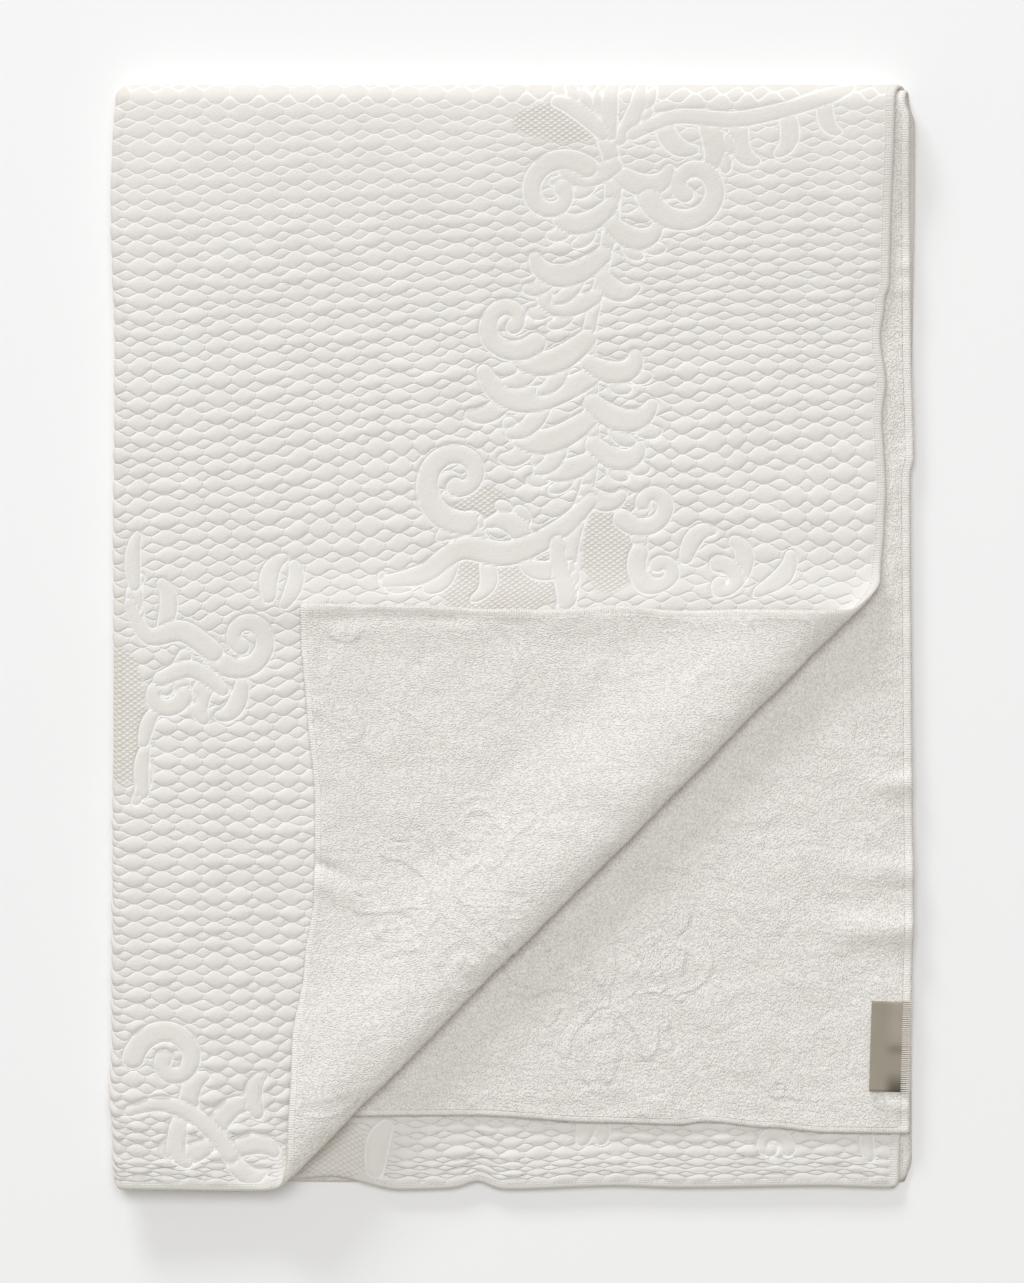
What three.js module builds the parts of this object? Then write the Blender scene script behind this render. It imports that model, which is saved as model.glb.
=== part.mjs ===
// A quilted cotton coverlet, folded in four and lying flat, with one corner of its top layer turned back.
// X runs to the right of the folded packet, Y towards its top fold, Z up. All sizes are in millimetres.

import * as THREE from 'three';

// Driving sizes of the cloth

const CLOTH_THICK = 3.4;
const HALF_WIDE = 628;
const HALF_LONG = 874;
const HEM_WIDE = 7;
const HEM_GROOVE = 0.6;

// Driving sizes of the folded packet

const SIDE_FOLD_X = -317;
const TOP_FOLD_Y = 436.5;
const FOLD_PITCH = 8.4;
const HEM_PITCH = 5.2;
const SETTLE_REACH = 210;

// Quilting: one raised point to a puff, on the face that shows

const PUFF_WIDE = 21.3;
const PUFF_DEEP = 13.4;
const PUFF_RISE = 1.3;
const PUFF_SINK = 0.3;

// The corner turned back along a line at 45 degrees. Distances across that line are measured from the origin.

const TURN_EDGE = 177;
const TURN_REACH = 24;
const TURN_HEIGHT = 20;
const TURN_FALL = 90;
const FLAP_RISE = 6.8;
const TURN_STEPS = 7;
const FALL_STEPS = 2;
const SCORE_SNAP = 1.2;

// Divisions of the flat cloth

const PLAIN_STEPS = 5;
const SIDE_BEND_STEPS = 4;
const TOP_BEND_STEPS = 6;
const REVERSE_STEP = 4;

// The blank woven label, sewn to the reverse of the second layer near its lower right corner

const LABEL = { wide: 25, long: 71.5, thick: 0.8, x: 294, y: -324.5, tilt: -1.7, gap: 0.3 };

// Radii of the two folds, to the middle of the cloth

const SIDE_RADIUS = FOLD_PITCH / 2;
const TOP_RADIUS = FOLD_PITCH;
const SIDE_ARC = SIDE_RADIUS * Math.PI / 2;
const TOP_ARC = TOP_RADIUS * Math.PI / 2;
const TOP_AXIS_Y = TOP_FOLD_Y - TOP_RADIUS - SIDE_RADIUS - CLOTH_THICK / 2;
const PACKET_MIDDLE_Z = CLOTH_THICK / 2 + 1.5 * FOLD_PITCH;

// How far the side fold wanders from its line, from the top of the packet to its bottom

const SIDE_FOLD_LINE = [
  { y: -431, shift: 0.6 },
  { y: -395, shift: -0.2 },
  { y: -372, shift: -2.5 },
  { y: -330, shift: -0.8 },
  { y: 30, shift: 0.2 },
  { y: 267, shift: 1.4 },
  { y: 297, shift: -0.6 },
  { y: 358, shift: -2.1 },
  { y: 403, shift: -0.6 },
  { y: 424, shift: 1.4 },
  { y: 434, shift: 7 },
];

// Right-hand hems of the four layers, each read at a height in the packet. The top layer's lower part is the
// hem that the turned corner carries, where it would lie if the corner were laid flat again.

const RIGHT_HEM = {
  first: [
    { y: -424, x: 280 },
    { y: -200, x: 277.5 },
    { y: 10, x: 274 },
    { y: 46, x: 289.5 },
    { y: 91, x: 292.7 },
    { y: 121, x: 294 },
    { y: 180, x: 291 },
    { y: 207, x: 293.9 },
    { y: 245, x: 289.5 },
    { y: 273, x: 292.7 },
    { y: 290, x: 296.8 },
    { y: 436, x: 300 },
  ],
  second: [
    { y: -394, x: 313 },
    { y: -230, x: 316 },
    { y: -124, x: 315 },
    { y: 121, x: 313.6 },
    { y: 136, x: 316.5 },
    { y: 236, x: 314.2 },
    { y: 286, x: 313.8 },
    { y: 436, x: 311.5 },
  ],
  third: [
    { y: -436, x: 304.5 },
    { y: -390, x: 305.5 },
    { y: 0, x: 311 },
    { y: 436, x: 317.5 },
  ],
  fourth: [
    { y: -436, x: 314.5 },
    { y: 0, x: 313.5 },
    { y: 436, x: 317 },
  ],
};

// Bottom hems of the four layers, each read at a distance across the packet

const BOTTOM_HEM = {
  first: [
    { x: -317, y: -436.5 },
    { x: -202, y: -438 },
    { x: -150, y: -432.2 },
    { x: -72, y: -428.4 },
    { x: -1, y: -419 },
    { x: 47, y: -412.6 },
    { x: 126, y: -412.6 },
    { x: 205, y: -419 },
    { x: 280, y: -423 },
  ],
  second: [
    { x: -317, y: -421 },
    { x: -137, y: -379.6 },
    { x: -35, y: -379.3 },
    { x: 68, y: -385 },
    { x: 131, y: -386.7 },
    { x: 150, y: -384.3 },
    { x: 202, y: -389 },
    { x: 250, y: -393 },
    { x: 313, y: -393.8 },
  ],
  third: [
    { x: -317, y: -424 },
    { x: -172, y: -429.4 },
    { x: -146, y: -427.8 },
    { x: -90, y: -438.8 },
    { x: -43, y: -436.5 },
    { x: -30, y: -431.7 },
    { x: -12, y: -438.8 },
    { x: 82, y: -435.7 },
    { x: 131, y: -437.3 },
    { x: 244, y: -435.7 },
    { x: 304, y: -437.3 },
  ],
  fourth: [
    { x: -317, y: -432 },
    { x: 250, y: -434 },
    { x: 302, y: -433 },
    { x: 315, y: -429 },
  ],
};

// Soft ridges: one under the flap's top hem, and a few that run in from the second layer's free right hem

const FLAP_RIDGE = { y: 27, height: 2, spread: 20, fromX: -250, fullX: -150 };

const HEM_RIDGES = [
  { y: -124, height: 2.4, spread: 13, reach: 46 },
  { y: -216, height: 2.2, spread: 15, reach: 40 },
];

// Reads a value from a table by the column it is sorted on, easing from row to row.
function readTable(rows, column, value, at) {
  if (at <= rows[0][column]) return rows[0][value];
  for (let i = 1; i < rows.length; i += 1) {
    const before = rows[i - 1];
    const after = rows[i];
    if (at <= after[column]) {
      const share = THREE.MathUtils.smoothstep(at, before[column], after[column]);
      return THREE.MathUtils.lerp(before[value], after[value], share);
    }
  }
  return rows[rows.length - 1][value];
}

// Mixes the hems of the four layers by how far a point is on the outer leaf and on the upper half.
function mixLayers(hems, column, value, at, outer, upper) {
  const above = THREE.MathUtils.lerp(
    readTable(hems.second, column, value, at),
    readTable(hems.first, column, value, at),
    outer,
  );
  const below = THREE.MathUtils.lerp(
    readTable(hems.third, column, value, at),
    readTable(hems.fourth, column, value, at),
    outer,
  );
  return THREE.MathUtils.lerp(below, above, upper);
}

// The share of its pitch at the folds that the pile keeps at a place: all of it at the folds, less further in.
function settling(x, y) {
  const inFromSide = THREE.MathUtils.smoothstep(x - SIDE_FOLD_X, 0, SETTLE_REACH);
  const inFromTop = THREE.MathUtils.smoothstep(TOP_FOLD_Y - y, 0, SETTLE_REACH);
  return THREE.MathUtils.lerp(1, HEM_PITCH / FOLD_PITCH, inFromSide * inFromTop);
}

// Height of the middle of a layer above the surface, counting the lowest layer as 0 and the top one as 3.
function layerHeight(layer, x, y) {
  return CLOTH_THICK / 2 + layer * FOLD_PITCH * settling(x, y);
}

// The ridge that the top layer and the flap over it share.
function flapRidge(x, y) {
  const across = (y - FLAP_RIDGE.y) / FLAP_RIDGE.spread;
  const along = THREE.MathUtils.smoothstep(x, FLAP_RIDGE.fromX, FLAP_RIDGE.fullX);
  return FLAP_RIDGE.height * Math.exp(-across * across) * along;
}

// The ridges that run in from the second layer's right hem, below the turned corner.
function hemRidges(x, y) {
  const edge = readTable(RIGHT_HEM.second, 'y', 'x', y);
  return HEM_RIDGES.reduce((sum, ridge) => {
    const across = (y - ridge.y) / ridge.spread;
    const inward = THREE.MathUtils.smoothstep(ridge.reach - (edge - x), 0, ridge.reach);
    return sum + ridge.height * Math.exp(-across * across) * inward;
  }, 0);
}

// The turned corner in section: half an ellipse, then a long soft fall to the layer it lies on. Each station
// has the path along the cloth from where it leaves the layer, its reach back, its height and its slope.
function turnSection() {
  const stations = [];
  const fineSteps = 360;
  let path = 0;
  let last = null;
  const add = (across, height) => {
    if (last) path += Math.hypot(across - last.across, height - last.height);
    last = { path, across, height };
    stations.push(last);
  };
  for (let i = 0; i <= fineSteps; i += 1) {
    const angle = Math.PI * (i / fineSteps - 0.5);
    add(TURN_REACH * Math.cos(angle), TURN_HEIGHT / 2 * (1 + Math.sin(angle)));
  }
  const turned = path;
  for (let i = 1; i <= fineSteps; i += 1) {
    const share = i / fineSteps;
    const drop = (TURN_HEIGHT - FLAP_RISE) * (1 - Math.cos(Math.PI * share)) / 2;
    add(-TURN_FALL * share, TURN_HEIGHT - drop);
  }
  return { stations, turned, fallen: path };
}

const TURN = turnSection();
const TURN_START = TURN_EDGE - CLOTH_THICK / 2 - TURN_REACH;

// A point of the turned corner's section at a path along the cloth, with the direction that the cloth runs in.
function turnAt(path) {
  const { stations, fallen } = TURN;
  if (path >= fallen) {
    return { across: -TURN_FALL - (path - fallen), height: FLAP_RISE, run: -1, climb: 0 };
  }
  const next = Math.max(1, stations.findIndex((station) => station.path >= path));
  const before = stations[next - 1];
  const after = stations[next];
  const length = after.path - before.path;
  const share = (path - before.path) / length;
  return {
    across: THREE.MathUtils.lerp(before.across, after.across, share),
    height: THREE.MathUtils.lerp(before.height, after.height, share),
    run: (after.across - before.across) / length,
    climb: (after.height - before.height) / length,
  };
}

// Where a point of the flat cloth lies in the packet before its corner is turned back. The point is given by
// its distances from the side fold, positive on the outer leaf, and from the top fold, positive on the upper
// half. Lift is its height off the middle of the cloth, towards the quilted face.
function foldInFour(fromSide, fromTop, lift) {
  const sideTurn = THREE.MathUtils.clamp(fromSide / SIDE_RADIUS, -Math.PI / 2, Math.PI / 2);
  const topTurn = THREE.MathUtils.clamp(fromTop / TOP_RADIUS, -Math.PI / 2, Math.PI / 2);
  const outer = (1 + Math.sin(sideTurn)) / 2;
  const upper = (1 + Math.sin(topTurn)) / 2;
  const sideRun = Math.max(0, Math.abs(fromSide) - SIDE_ARC) / (HALF_WIDE - SIDE_ARC);
  const topRun = Math.max(0, Math.abs(fromTop) - TOP_ARC) / (HALF_LONG - TOP_ARC);

  const guessY = THREE.MathUtils.lerp(TOP_FOLD_Y, -TOP_FOLD_Y, topRun);
  const foldX = SIDE_FOLD_X + readTable(SIDE_FOLD_LINE, 'y', 'shift', guessY);
  const bendX = foldX + SIDE_RADIUS + CLOTH_THICK / 2;
  const hemX = mixLayers(RIGHT_HEM, 'y', 'x', guessY, outer, upper);
  const flatX = THREE.MathUtils.lerp(bendX, hemX, sideRun);
  const x = flatX - (SIDE_RADIUS + lift) * Math.cos(sideTurn);

  const hemY = mixLayers(BOTTOM_HEM, 'x', 'y', x, outer, upper);
  const flatY = THREE.MathUtils.lerp(TOP_AXIS_Y, hemY, topRun);
  const ringMiddle = TOP_RADIUS + SIDE_RADIUS * Math.sin(sideTurn);
  const ring = ringMiddle + lift * Math.sin(sideTurn);
  const y = flatY + ring * Math.cos(topTurn);

  const middleZ = PACKET_MIDDLE_Z + ringMiddle * Math.sin(topTurn);
  const settled = CLOTH_THICK / 2 + (middleZ - CLOTH_THICK / 2) * settling(x, y);
  const z = settled + (ring - ringMiddle) * Math.sin(topTurn);
  return { x, y, z, outer, upper };
}

// How far across the turned corner's line a point of the top layer lies, or nothing on the other layers.
function acrossTurn(fromSide, fromTop) {
  if (fromSide < SIDE_ARC || fromTop < TOP_ARC) return -Infinity;
  const { x, y } = foldInFour(fromSide, fromTop, 0);
  return (x - y) / Math.SQRT2;
}

// Where a point of the flat cloth lies in the finished packet.
function placeCloth(fromSide, fromTop, lift) {
  const folded = foldInFour(fromSide, fromTop, lift);
  if (fromTop < TOP_ARC) return new THREE.Vector3(folded.x, folded.y, folded.z);
  if (fromSide < -SIDE_ARC) {
    return new THREE.Vector3(folded.x, folded.y, folded.z + hemRidges(folded.x, folded.y));
  }
  const path = acrossTurn(fromSide, fromTop) - TURN_START;
  if (!(path > 0)) {
    return new THREE.Vector3(folded.x, folded.y, folded.z + flapRidge(folded.x, folded.y) * folded.outer);
  }
  const { x, y } = foldInFour(fromSide, fromTop, 0);
  const alongLine = (x + y) / Math.SQRT2;
  const turn = turnAt(path);
  const across = TURN_START + turn.across - turn.climb * lift;
  const placedX = (alongLine + across) / Math.SQRT2;
  const placedY = (alongLine - across) / Math.SQRT2;
  const base = layerHeight(3, placedX, placedY) + flapRidge(placedX, placedY);
  return new THREE.Vector3(placedX, placedY, base + turn.height + turn.run * lift);
}

// Evenly spaced lines from one place to another. The reverse face uses all of them where its step is 1, and
// otherwise each line whose number is a multiple of the step, short of the last one.
function spacedLines(from, to, count, reverseStep) {
  return Array.from({ length: count }, (_, i) => ({
    at: THREE.MathUtils.lerp(from, to, (i + 1) / count),
    onReverse: reverseStep === 1 || ((i + 1) % reverseStep === 0 && i + 1 < count),
  }));
}

// Lines along which the flat cloth is divided, from one edge to the other: a hem, a plain half, the bend of
// the fold, the half that carries the quilting, and its hem.
function divisionLines(half, arc, bendSteps, puffSize) {
  const puffs = Math.round((half - HEM_WIDE - arc) / puffSize);
  return [
    { at: -half, onReverse: true },
    { at: -half + HEM_WIDE, onReverse: false },
    ...spacedLines(-half + HEM_WIDE, -arc, PLAIN_STEPS, 1),
    ...spacedLines(-arc, arc, bendSteps, 1),
    ...spacedLines(arc, half - HEM_WIDE, puffs, REVERSE_STEP),
    { at: half, onReverse: true },
  ];
}

const SIDE_LINES = divisionLines(HALF_WIDE, SIDE_ARC, SIDE_BEND_STEPS, PUFF_WIDE);
const TOP_LINES = divisionLines(HALF_LONG, TOP_ARC, TOP_BEND_STEPS, PUFF_DEEP);

// A face of the flat cloth as convex cells over shared points. A cell of the reverse face spans several
// divisions, and where it meets the edge of the cloth it keeps every division's point there.
class FlatFace {
  constructor(reverse) {
    this.points = [];
    this.numbers = new Map();
    this.cells = [];
    const used = (lines) => lines.map((line, i) => i).filter((i) => !reverse || lines[i].onReverse);
    const sides = used(SIDE_LINES);
    const tops = used(TOP_LINES);
    for (let a = 1; a < sides.length; a += 1) {
      for (let b = 1; b < tops.length; b += 1) {
        this.addCell(sides[a - 1], sides[a], tops[b - 1], tops[b]);
      }
    }
  }

  point(fromSide, fromTop) {
    const key = `${fromSide.toFixed(4)} ${fromTop.toFixed(4)}`;
    if (!this.numbers.has(key)) {
      this.numbers.set(key, this.points.length);
      this.points.push({ fromSide, fromTop, key, across: acrossTurn(fromSide, fromTop) });
    }
    return this.numbers.get(key);
  }

  addCell(left, right, near, far) {
    const cell = [];
    const lastTop = TOP_LINES.length - 1;
    const lastSide = SIDE_LINES.length - 1;
    const walk = (from, to, keepAll, add) => {
      const step = Math.sign(to - from);
      for (let i = from; i !== to; i += keepAll ? step : to - from) add(i);
    };
    const put = (i, j) => cell.push(this.point(SIDE_LINES[i].at, TOP_LINES[j].at));
    walk(left, right, near === 0, (i) => put(i, near));
    walk(near, far, right === lastSide, (j) => put(right, j));
    walk(right, left, far === lastTop, (i) => put(i, far));
    walk(far, near, left === 0, (j) => put(left, j));
    const puffed = left >= 0 && this.isPuff(left, right, near, far);
    this.cells.push({ corners: cell, puffed });
  }

  // A puff is a cell of the top layer's quilted half that lies clear of the hems and the turned corner.
  isPuff(left, right, near, far) {
    const inQuilting = (lines, arc, first, last) => lines[first].at >= arc - 1 && last < lines.length - 1;
    if (!inQuilting(SIDE_LINES, SIDE_ARC, left, right)) return false;
    if (!inQuilting(TOP_LINES, TOP_ARC, near, far)) return false;
    return acrossTurn(SIDE_LINES[right].at, TOP_LINES[far].at) < TURN_START;
  }

  // Divides every cell that a line across the turned corner runs through.
  score(level) {
    const cuts = new Map();
    const sideOf = (n) => {
      const offset = this.points[n].across - level;
      return Math.abs(offset) < SCORE_SNAP ? 0 : Math.sign(offset);
    };
    const cutBetween = (m, n) => {
      const [low, high] = this.points[m].key < this.points[n].key ? [m, n] : [n, m];
      const key = `${low} ${high}`;
      if (!cuts.has(key)) {
        const from = this.points[low];
        const to = this.points[high];
        const share = (level - from.across) / (to.across - from.across);
        cuts.set(key, this.point(
          THREE.MathUtils.lerp(from.fromSide, to.fromSide, share),
          THREE.MathUtils.lerp(from.fromTop, to.fromTop, share),
        ));
      }
      return cuts.get(key);
    };
    this.cells = this.cells.flatMap((cell) => {
      const signs = cell.corners.map(sideOf);
      if (!signs.includes(1) || !signs.includes(-1)) return [cell];
      const parts = { '-1': [], 1: [] };
      cell.corners.forEach((corner, i) => {
        const next = (i + 1) % cell.corners.length;
        if (signs[i] <= 0) parts['-1'].push(corner);
        if (signs[i] >= 0) parts[1].push(corner);
        if (signs[i] * signs[next] < 0) {
          const cut = cutBetween(corner, cell.corners[next]);
          parts['-1'].push(cut);
          parts[1].push(cut);
        }
      });
      return [parts['-1'], parts[1]].map((corners) => ({ corners, puffed: false }));
    });
  }

  // Twice the area of a triangle of the flat cloth.
  area(a, b, c) {
    const [p, q, r] = [this.points[a], this.points[b], this.points[c]];
    return (q.fromSide - p.fromSide) * (r.fromTop - p.fromTop)
      - (r.fromSide - p.fromSide) * (q.fromTop - p.fromTop);
  }

  // Triangles of a cell, fanned from the corner that leaves the thinnest of them widest.
  fan(corners) {
    let best = null;
    corners.forEach((apex, start) => {
      const ring = corners.map((_, i) => corners[(start + i) % corners.length]);
      const triangles = [];
      for (let i = 2; i < ring.length; i += 1) triangles.push([ring[0], ring[i - 1], ring[i]]);
      const thinnest = Math.min(...triangles.map((triangle) => this.area(...triangle)));
      if (!best || thinnest > best.thinnest) best = { thinnest, triangles };
    });
    return best.triangles;
  }
}

// Both faces of the cloth, divided alike along the lines of the turned corner.
function flatFaces() {
  const levels = [];
  for (let i = 0; i <= TURN_STEPS; i += 1) {
    const angle = Math.PI * (i / TURN_STEPS - 0.5);
    const height = TURN_HEIGHT / 2 * (1 + Math.sin(angle));
    const reached = TURN.stations.find((station) => station.height >= height - 1e-6);
    levels.push(TURN_START + reached.path);
  }
  for (let i = 1; i <= FALL_STEPS; i += 1) {
    levels.push(TURN_START + THREE.MathUtils.lerp(TURN.turned, TURN.fallen, i / FALL_STEPS));
  }
  return [false, true].map((reverse) => {
    const face = new FlatFace(reverse);
    levels.forEach((level) => face.score(level));
    return face;
  });
}

// Height of the quilted face off the middle of the cloth: a groove runs inside each hem.
function quiltedLift(point) {
  const nearHem = Math.min(HALF_WIDE - Math.abs(point.fromSide), HALF_LONG - Math.abs(point.fromTop));
  const onTop = point.fromSide > SIDE_ARC && point.fromTop > TOP_ARC;
  const groove = onTop && Math.abs(nearHem - HEM_WIDE) < 1 ? HEM_GROOVE : 0;
  const sunk = onTop && nearHem > HEM_WIDE + 1 && point.across < TURN_START ? PUFF_SINK : 0;
  return CLOTH_THICK / 2 - groove - sunk;
}

// The folded cloth as one closed body: its quilted face, its reverse, and the narrow edge between them.
function coverletGeometry() {
  const [quilted, reverse] = flatFaces();
  const positions = [];
  const indices = [];
  const addPoint = (fromSide, fromTop, lift) => {
    positions.push(...placeCloth(fromSide, fromTop, lift).toArray());
    return positions.length / 3 - 1;
  };
  const lower = reverse.points.map((p) => addPoint(p.fromSide, p.fromTop, -CLOTH_THICK / 2));
  const upper = quilted.points.map((p) => addPoint(p.fromSide, p.fromTop, quiltedLift(p)));

  quilted.cells.forEach(({ corners, puffed }) => {
    if (!puffed) {
      quilted.fan(corners).forEach(([a, b, c]) => indices.push(upper[a], upper[c], upper[b]));
      return;
    }
    const mean = (key) => corners.reduce((sum, n) => sum + quilted.points[n][key], 0) / corners.length;
    const crown = addPoint(mean('fromSide'), mean('fromTop'), CLOTH_THICK / 2 + PUFF_RISE);
    corners.forEach((corner, i) => {
      indices.push(upper[corner], crown, upper[corners[(i + 1) % corners.length]]);
    });
  });
  reverse.cells.forEach(({ corners }) => {
    reverse.fan(corners).forEach(([a, b, c]) => indices.push(lower[a], lower[b], lower[c]));
  });

  edgesOfCloth(quilted).forEach(([a, b]) => {
    const lowA = lower[reverse.numbers.get(quilted.points[a].key)];
    const lowB = lower[reverse.numbers.get(quilted.points[b].key)];
    indices.push(upper[a], upper[b], lowB, upper[a], lowB, lowA);
  });
  const geometry = new THREE.BufferGeometry();
  geometry.setAttribute('position', new THREE.Float32BufferAttribute(positions, 3));
  geometry.setIndex(indices);
  return geometry;
}

// Steps around the edge of the cloth: the sides of cells that no other cell shares.
function edgesOfCloth(face) {
  const once = new Map();
  face.cells.forEach(({ corners }) => {
    corners.forEach((corner, i) => {
      const next = corners[(i + 1) % corners.length];
      if (once.has(`${next} ${corner}`)) once.delete(`${next} ${corner}`);
      else once.set(`${corner} ${next}`, [corner, next]);
    });
  });
  return [...once.values()];
}

// The coverlet: cream cotton, quilted in the weave.
function makeCoverlet() {
  const cotton = new THREE.MeshStandardMaterial({ color: 0xebe8e2, roughness: 0.95, metalness: 0 });
  const mesh = new THREE.Mesh(coverletGeometry(), cotton);
  mesh.name = 'coverlet';
  return mesh;
}

// The label: a narrow satin ribbon with nothing on it, lying on the second layer's reverse.
function makeLabel() {
  const satin = new THREE.MeshStandardMaterial({ color: 0x98907f, roughness: 0.55, metalness: 0 });
  const mesh = new THREE.Mesh(new THREE.BoxGeometry(LABEL.wide, LABEL.long, LABEL.thick), satin);
  const rest = layerHeight(2, LABEL.x, LABEL.y) + CLOTH_THICK / 2 + LABEL.gap;
  mesh.position.set(LABEL.x, LABEL.y, rest + LABEL.thick / 2);
  mesh.rotation.z = THREE.MathUtils.degToRad(LABEL.tilt);
  mesh.name = 'label';
  return mesh;
}

// The packet is set down with the middle of its outline over the origin.
const packet = new THREE.Group();
packet.add(makeCoverlet(), makeLabel());
const outline = new THREE.Box3().setFromObject(packet);
const middle = outline.getCenter(new THREE.Vector3());
packet.position.set(-middle.x, -middle.y, -outline.min.z);
packet.updateMatrixWorld(true);

export default packet;
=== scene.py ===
"""A cream quilted coverlet folded in four, lying flat, with one corner of its top layer turned back."""

import bpy
import numpy as np
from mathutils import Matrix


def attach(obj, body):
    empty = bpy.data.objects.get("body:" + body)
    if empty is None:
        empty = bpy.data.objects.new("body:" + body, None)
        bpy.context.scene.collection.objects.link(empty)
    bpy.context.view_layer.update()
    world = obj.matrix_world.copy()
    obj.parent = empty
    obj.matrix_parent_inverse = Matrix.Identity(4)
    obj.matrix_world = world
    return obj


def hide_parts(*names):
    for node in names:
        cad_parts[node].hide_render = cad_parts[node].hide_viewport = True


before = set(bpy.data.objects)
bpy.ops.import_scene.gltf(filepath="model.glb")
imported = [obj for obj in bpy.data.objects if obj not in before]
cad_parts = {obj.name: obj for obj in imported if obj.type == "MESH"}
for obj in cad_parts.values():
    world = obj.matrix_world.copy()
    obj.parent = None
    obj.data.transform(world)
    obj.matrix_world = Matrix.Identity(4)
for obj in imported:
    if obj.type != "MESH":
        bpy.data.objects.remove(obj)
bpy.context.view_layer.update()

# Camera, light and floor.
# The packet lies on a pale floor and is seen from straight above through a long lens. A large soft light
# hangs almost overhead and a second one stands low beyond the top fold, so that the puffs and hems cast
# their shade down the picture. A weak, slightly warm light from all round fills the shadows.

FRAME_WIDE_PX = 1024
FRAME_TALL_PX = 1283
PACKET_MIDDLE_PX = (513.5, 637.5)
MM_TO_A_PIXEL = 0.79
CAMERA_HEIGHT = 4.2
TOP_LAYER_HEIGHT = 0.022

camera_data = bpy.data.cameras.new("camera")
camera = bpy.data.objects.new("camera", camera_data)
bpy.context.scene.collection.objects.link(camera)
camera_data.sensor_width = 36
frame_tall = FRAME_TALL_PX * MM_TO_A_PIXEL / 1000
camera_data.lens = camera_data.sensor_width * (CAMERA_HEIGHT - TOP_LAYER_HEIGHT) / frame_tall
camera.location = (
    (FRAME_WIDE_PX / 2 - PACKET_MIDDLE_PX[0]) * MM_TO_A_PIXEL / 1000,
    (PACKET_MIDDLE_PX[1] - FRAME_TALL_PX / 2) * MM_TO_A_PIXEL / 1000,
    CAMERA_HEIGHT,
)
bpy.context.scene.camera = camera

# Each light: its name, where it stands and how wide and tall it is, in metres, and its power in watts.
LIGHTS = [
    ("key", (-0.6, 3.0, 11.6), (7.0, 6.0), 655),
    ("low", (-4.0, 10.4, 4.0), (4.0, 2.4), 660),
]
LIGHT_COLOUR = (1.0, 1.03, 1.085)
FILL_STRENGTH = 0.39
FILL_COLOUR = (1.0, 0.955, 0.865, 1)
FLOOR_SIZE = 14
FLOOR_COLOUR = (0.93, 0.93, 0.93, 1)

bpy.context.scene.view_settings.view_transform = "Standard"
for name, place, size, power in LIGHTS:
    light_data = bpy.data.lights.new(name, "AREA")
    light_data.shape = "RECTANGLE"
    light_data.size, light_data.size_y = size
    light_data.energy = power
    light_data.color = LIGHT_COLOUR
    light = bpy.data.objects.new(name, light_data)
    light.location = place
    toward = np.array(place) / np.linalg.norm(place)
    light.rotation_euler = (np.arccos(toward[2]), 0, np.arctan2(toward[1], toward[0]) + np.pi / 2)
    bpy.context.scene.collection.objects.link(light)

world = bpy.data.worlds.new("studio")
bpy.context.scene.world = world
world.use_nodes = True
world.node_tree.nodes["Background"].inputs["Color"].default_value = FILL_COLOUR
world.node_tree.nodes["Background"].inputs["Strength"].default_value = FILL_STRENGTH

floor_mesh = bpy.data.meshes.new("floor")
half_floor = FLOOR_SIZE / 2
floor_corners = [(-half_floor, -half_floor, 0), (half_floor, -half_floor, 0),
                 (half_floor, half_floor, 0), (-half_floor, half_floor, 0)]
floor_mesh.from_pydata(floor_corners, [], [(0, 1, 2, 3)])
floor = bpy.data.objects.new("floor", floor_mesh)
bpy.context.scene.collection.objects.link(floor)
floor_paint = bpy.data.materials.new("floor")
floor_paint.use_nodes = True
floor_shader = floor_paint.node_tree.nodes["Principled BSDF"]
floor_shader.inputs["Base Color"].default_value = FLOOR_COLOUR
floor_shader.inputs["Roughness"].default_value = 0.9
floor_shader.inputs["Specular IOR Level"].default_value = 0.1
floor_mesh.materials.append(floor_paint)

# The quilting.
# The cotton is woven double, with a thick weft between, so that its face stands up in rows of large pointed
# puffs with a smaller one in every gap. Sizes are in millimetres of flat cloth, from the two folds.

CELL_WIDE = 21.2
CELL_DEEP = 13.35
CELL_WAIST = 0.30
CELL_WAIST_POWER = 1.15
BIG_PUFF = 1.4
SMALL_PUFF = 1.1
UNEVEN_PUFFS = 0.28
ROW_TILT = [(0, 0.02), (90, 0.035), (250, 0.075), (420, 0.03), (560, -0.005), (880, 0.0)]

# Near the end hems the rows are drawn closer: the extra rows' depth at each distance below the top fold.
ROW_GATHER = [(0, 0), (815, 0), (845, 9), (874, 32)]

# Noise that moves the puffs off their even places: how far, over what pitch, and its seed.
WANDER_ACROSS = [(3.0, 74, 11), (3.4, 29, 12)]
WANDER_DOWN = [(3.0, 96, 13), (2.3, 31, 14)]
PUFF_SEED = 5
PUFF_POWER = 0.5


def soft_noise(x, y, scale, seed):
    """Random heights from -1 to 1 on a square lattice of the scale's pitch, joined by smooth steps."""
    lattice = np.random.default_rng(seed).uniform(-1, 1, (64, 64))
    i = np.floor(x / scale).astype(int)
    j = np.floor(y / scale).astype(int)
    s = x / scale - i
    t = y / scale - j
    s = s * s * (3 - 2 * s)
    t = t * t * (3 - 2 * t)
    near = lattice[i % 64, j % 64] * (1 - s) + lattice[(i + 1) % 64, j % 64] * s
    far = lattice[i % 64, (j + 1) % 64] * (1 - s) + lattice[(i + 1) % 64, (j + 1) % 64] * s
    return near * (1 - t) + far * t


def noises(rows, x, y):
    """The sum of soft noises at a place, one for each row of height, pitch and seed."""
    return sum(height * soft_noise(x, y, pitch, seed) for height, pitch, seed in rows)


def smooth_step(low, high, value):
    """0 below low and 1 above high, with an S-curve between them."""
    share = np.clip((value - low) / (high - low), 0, 1)
    return share * share * (3 - 2 * share)


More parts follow.
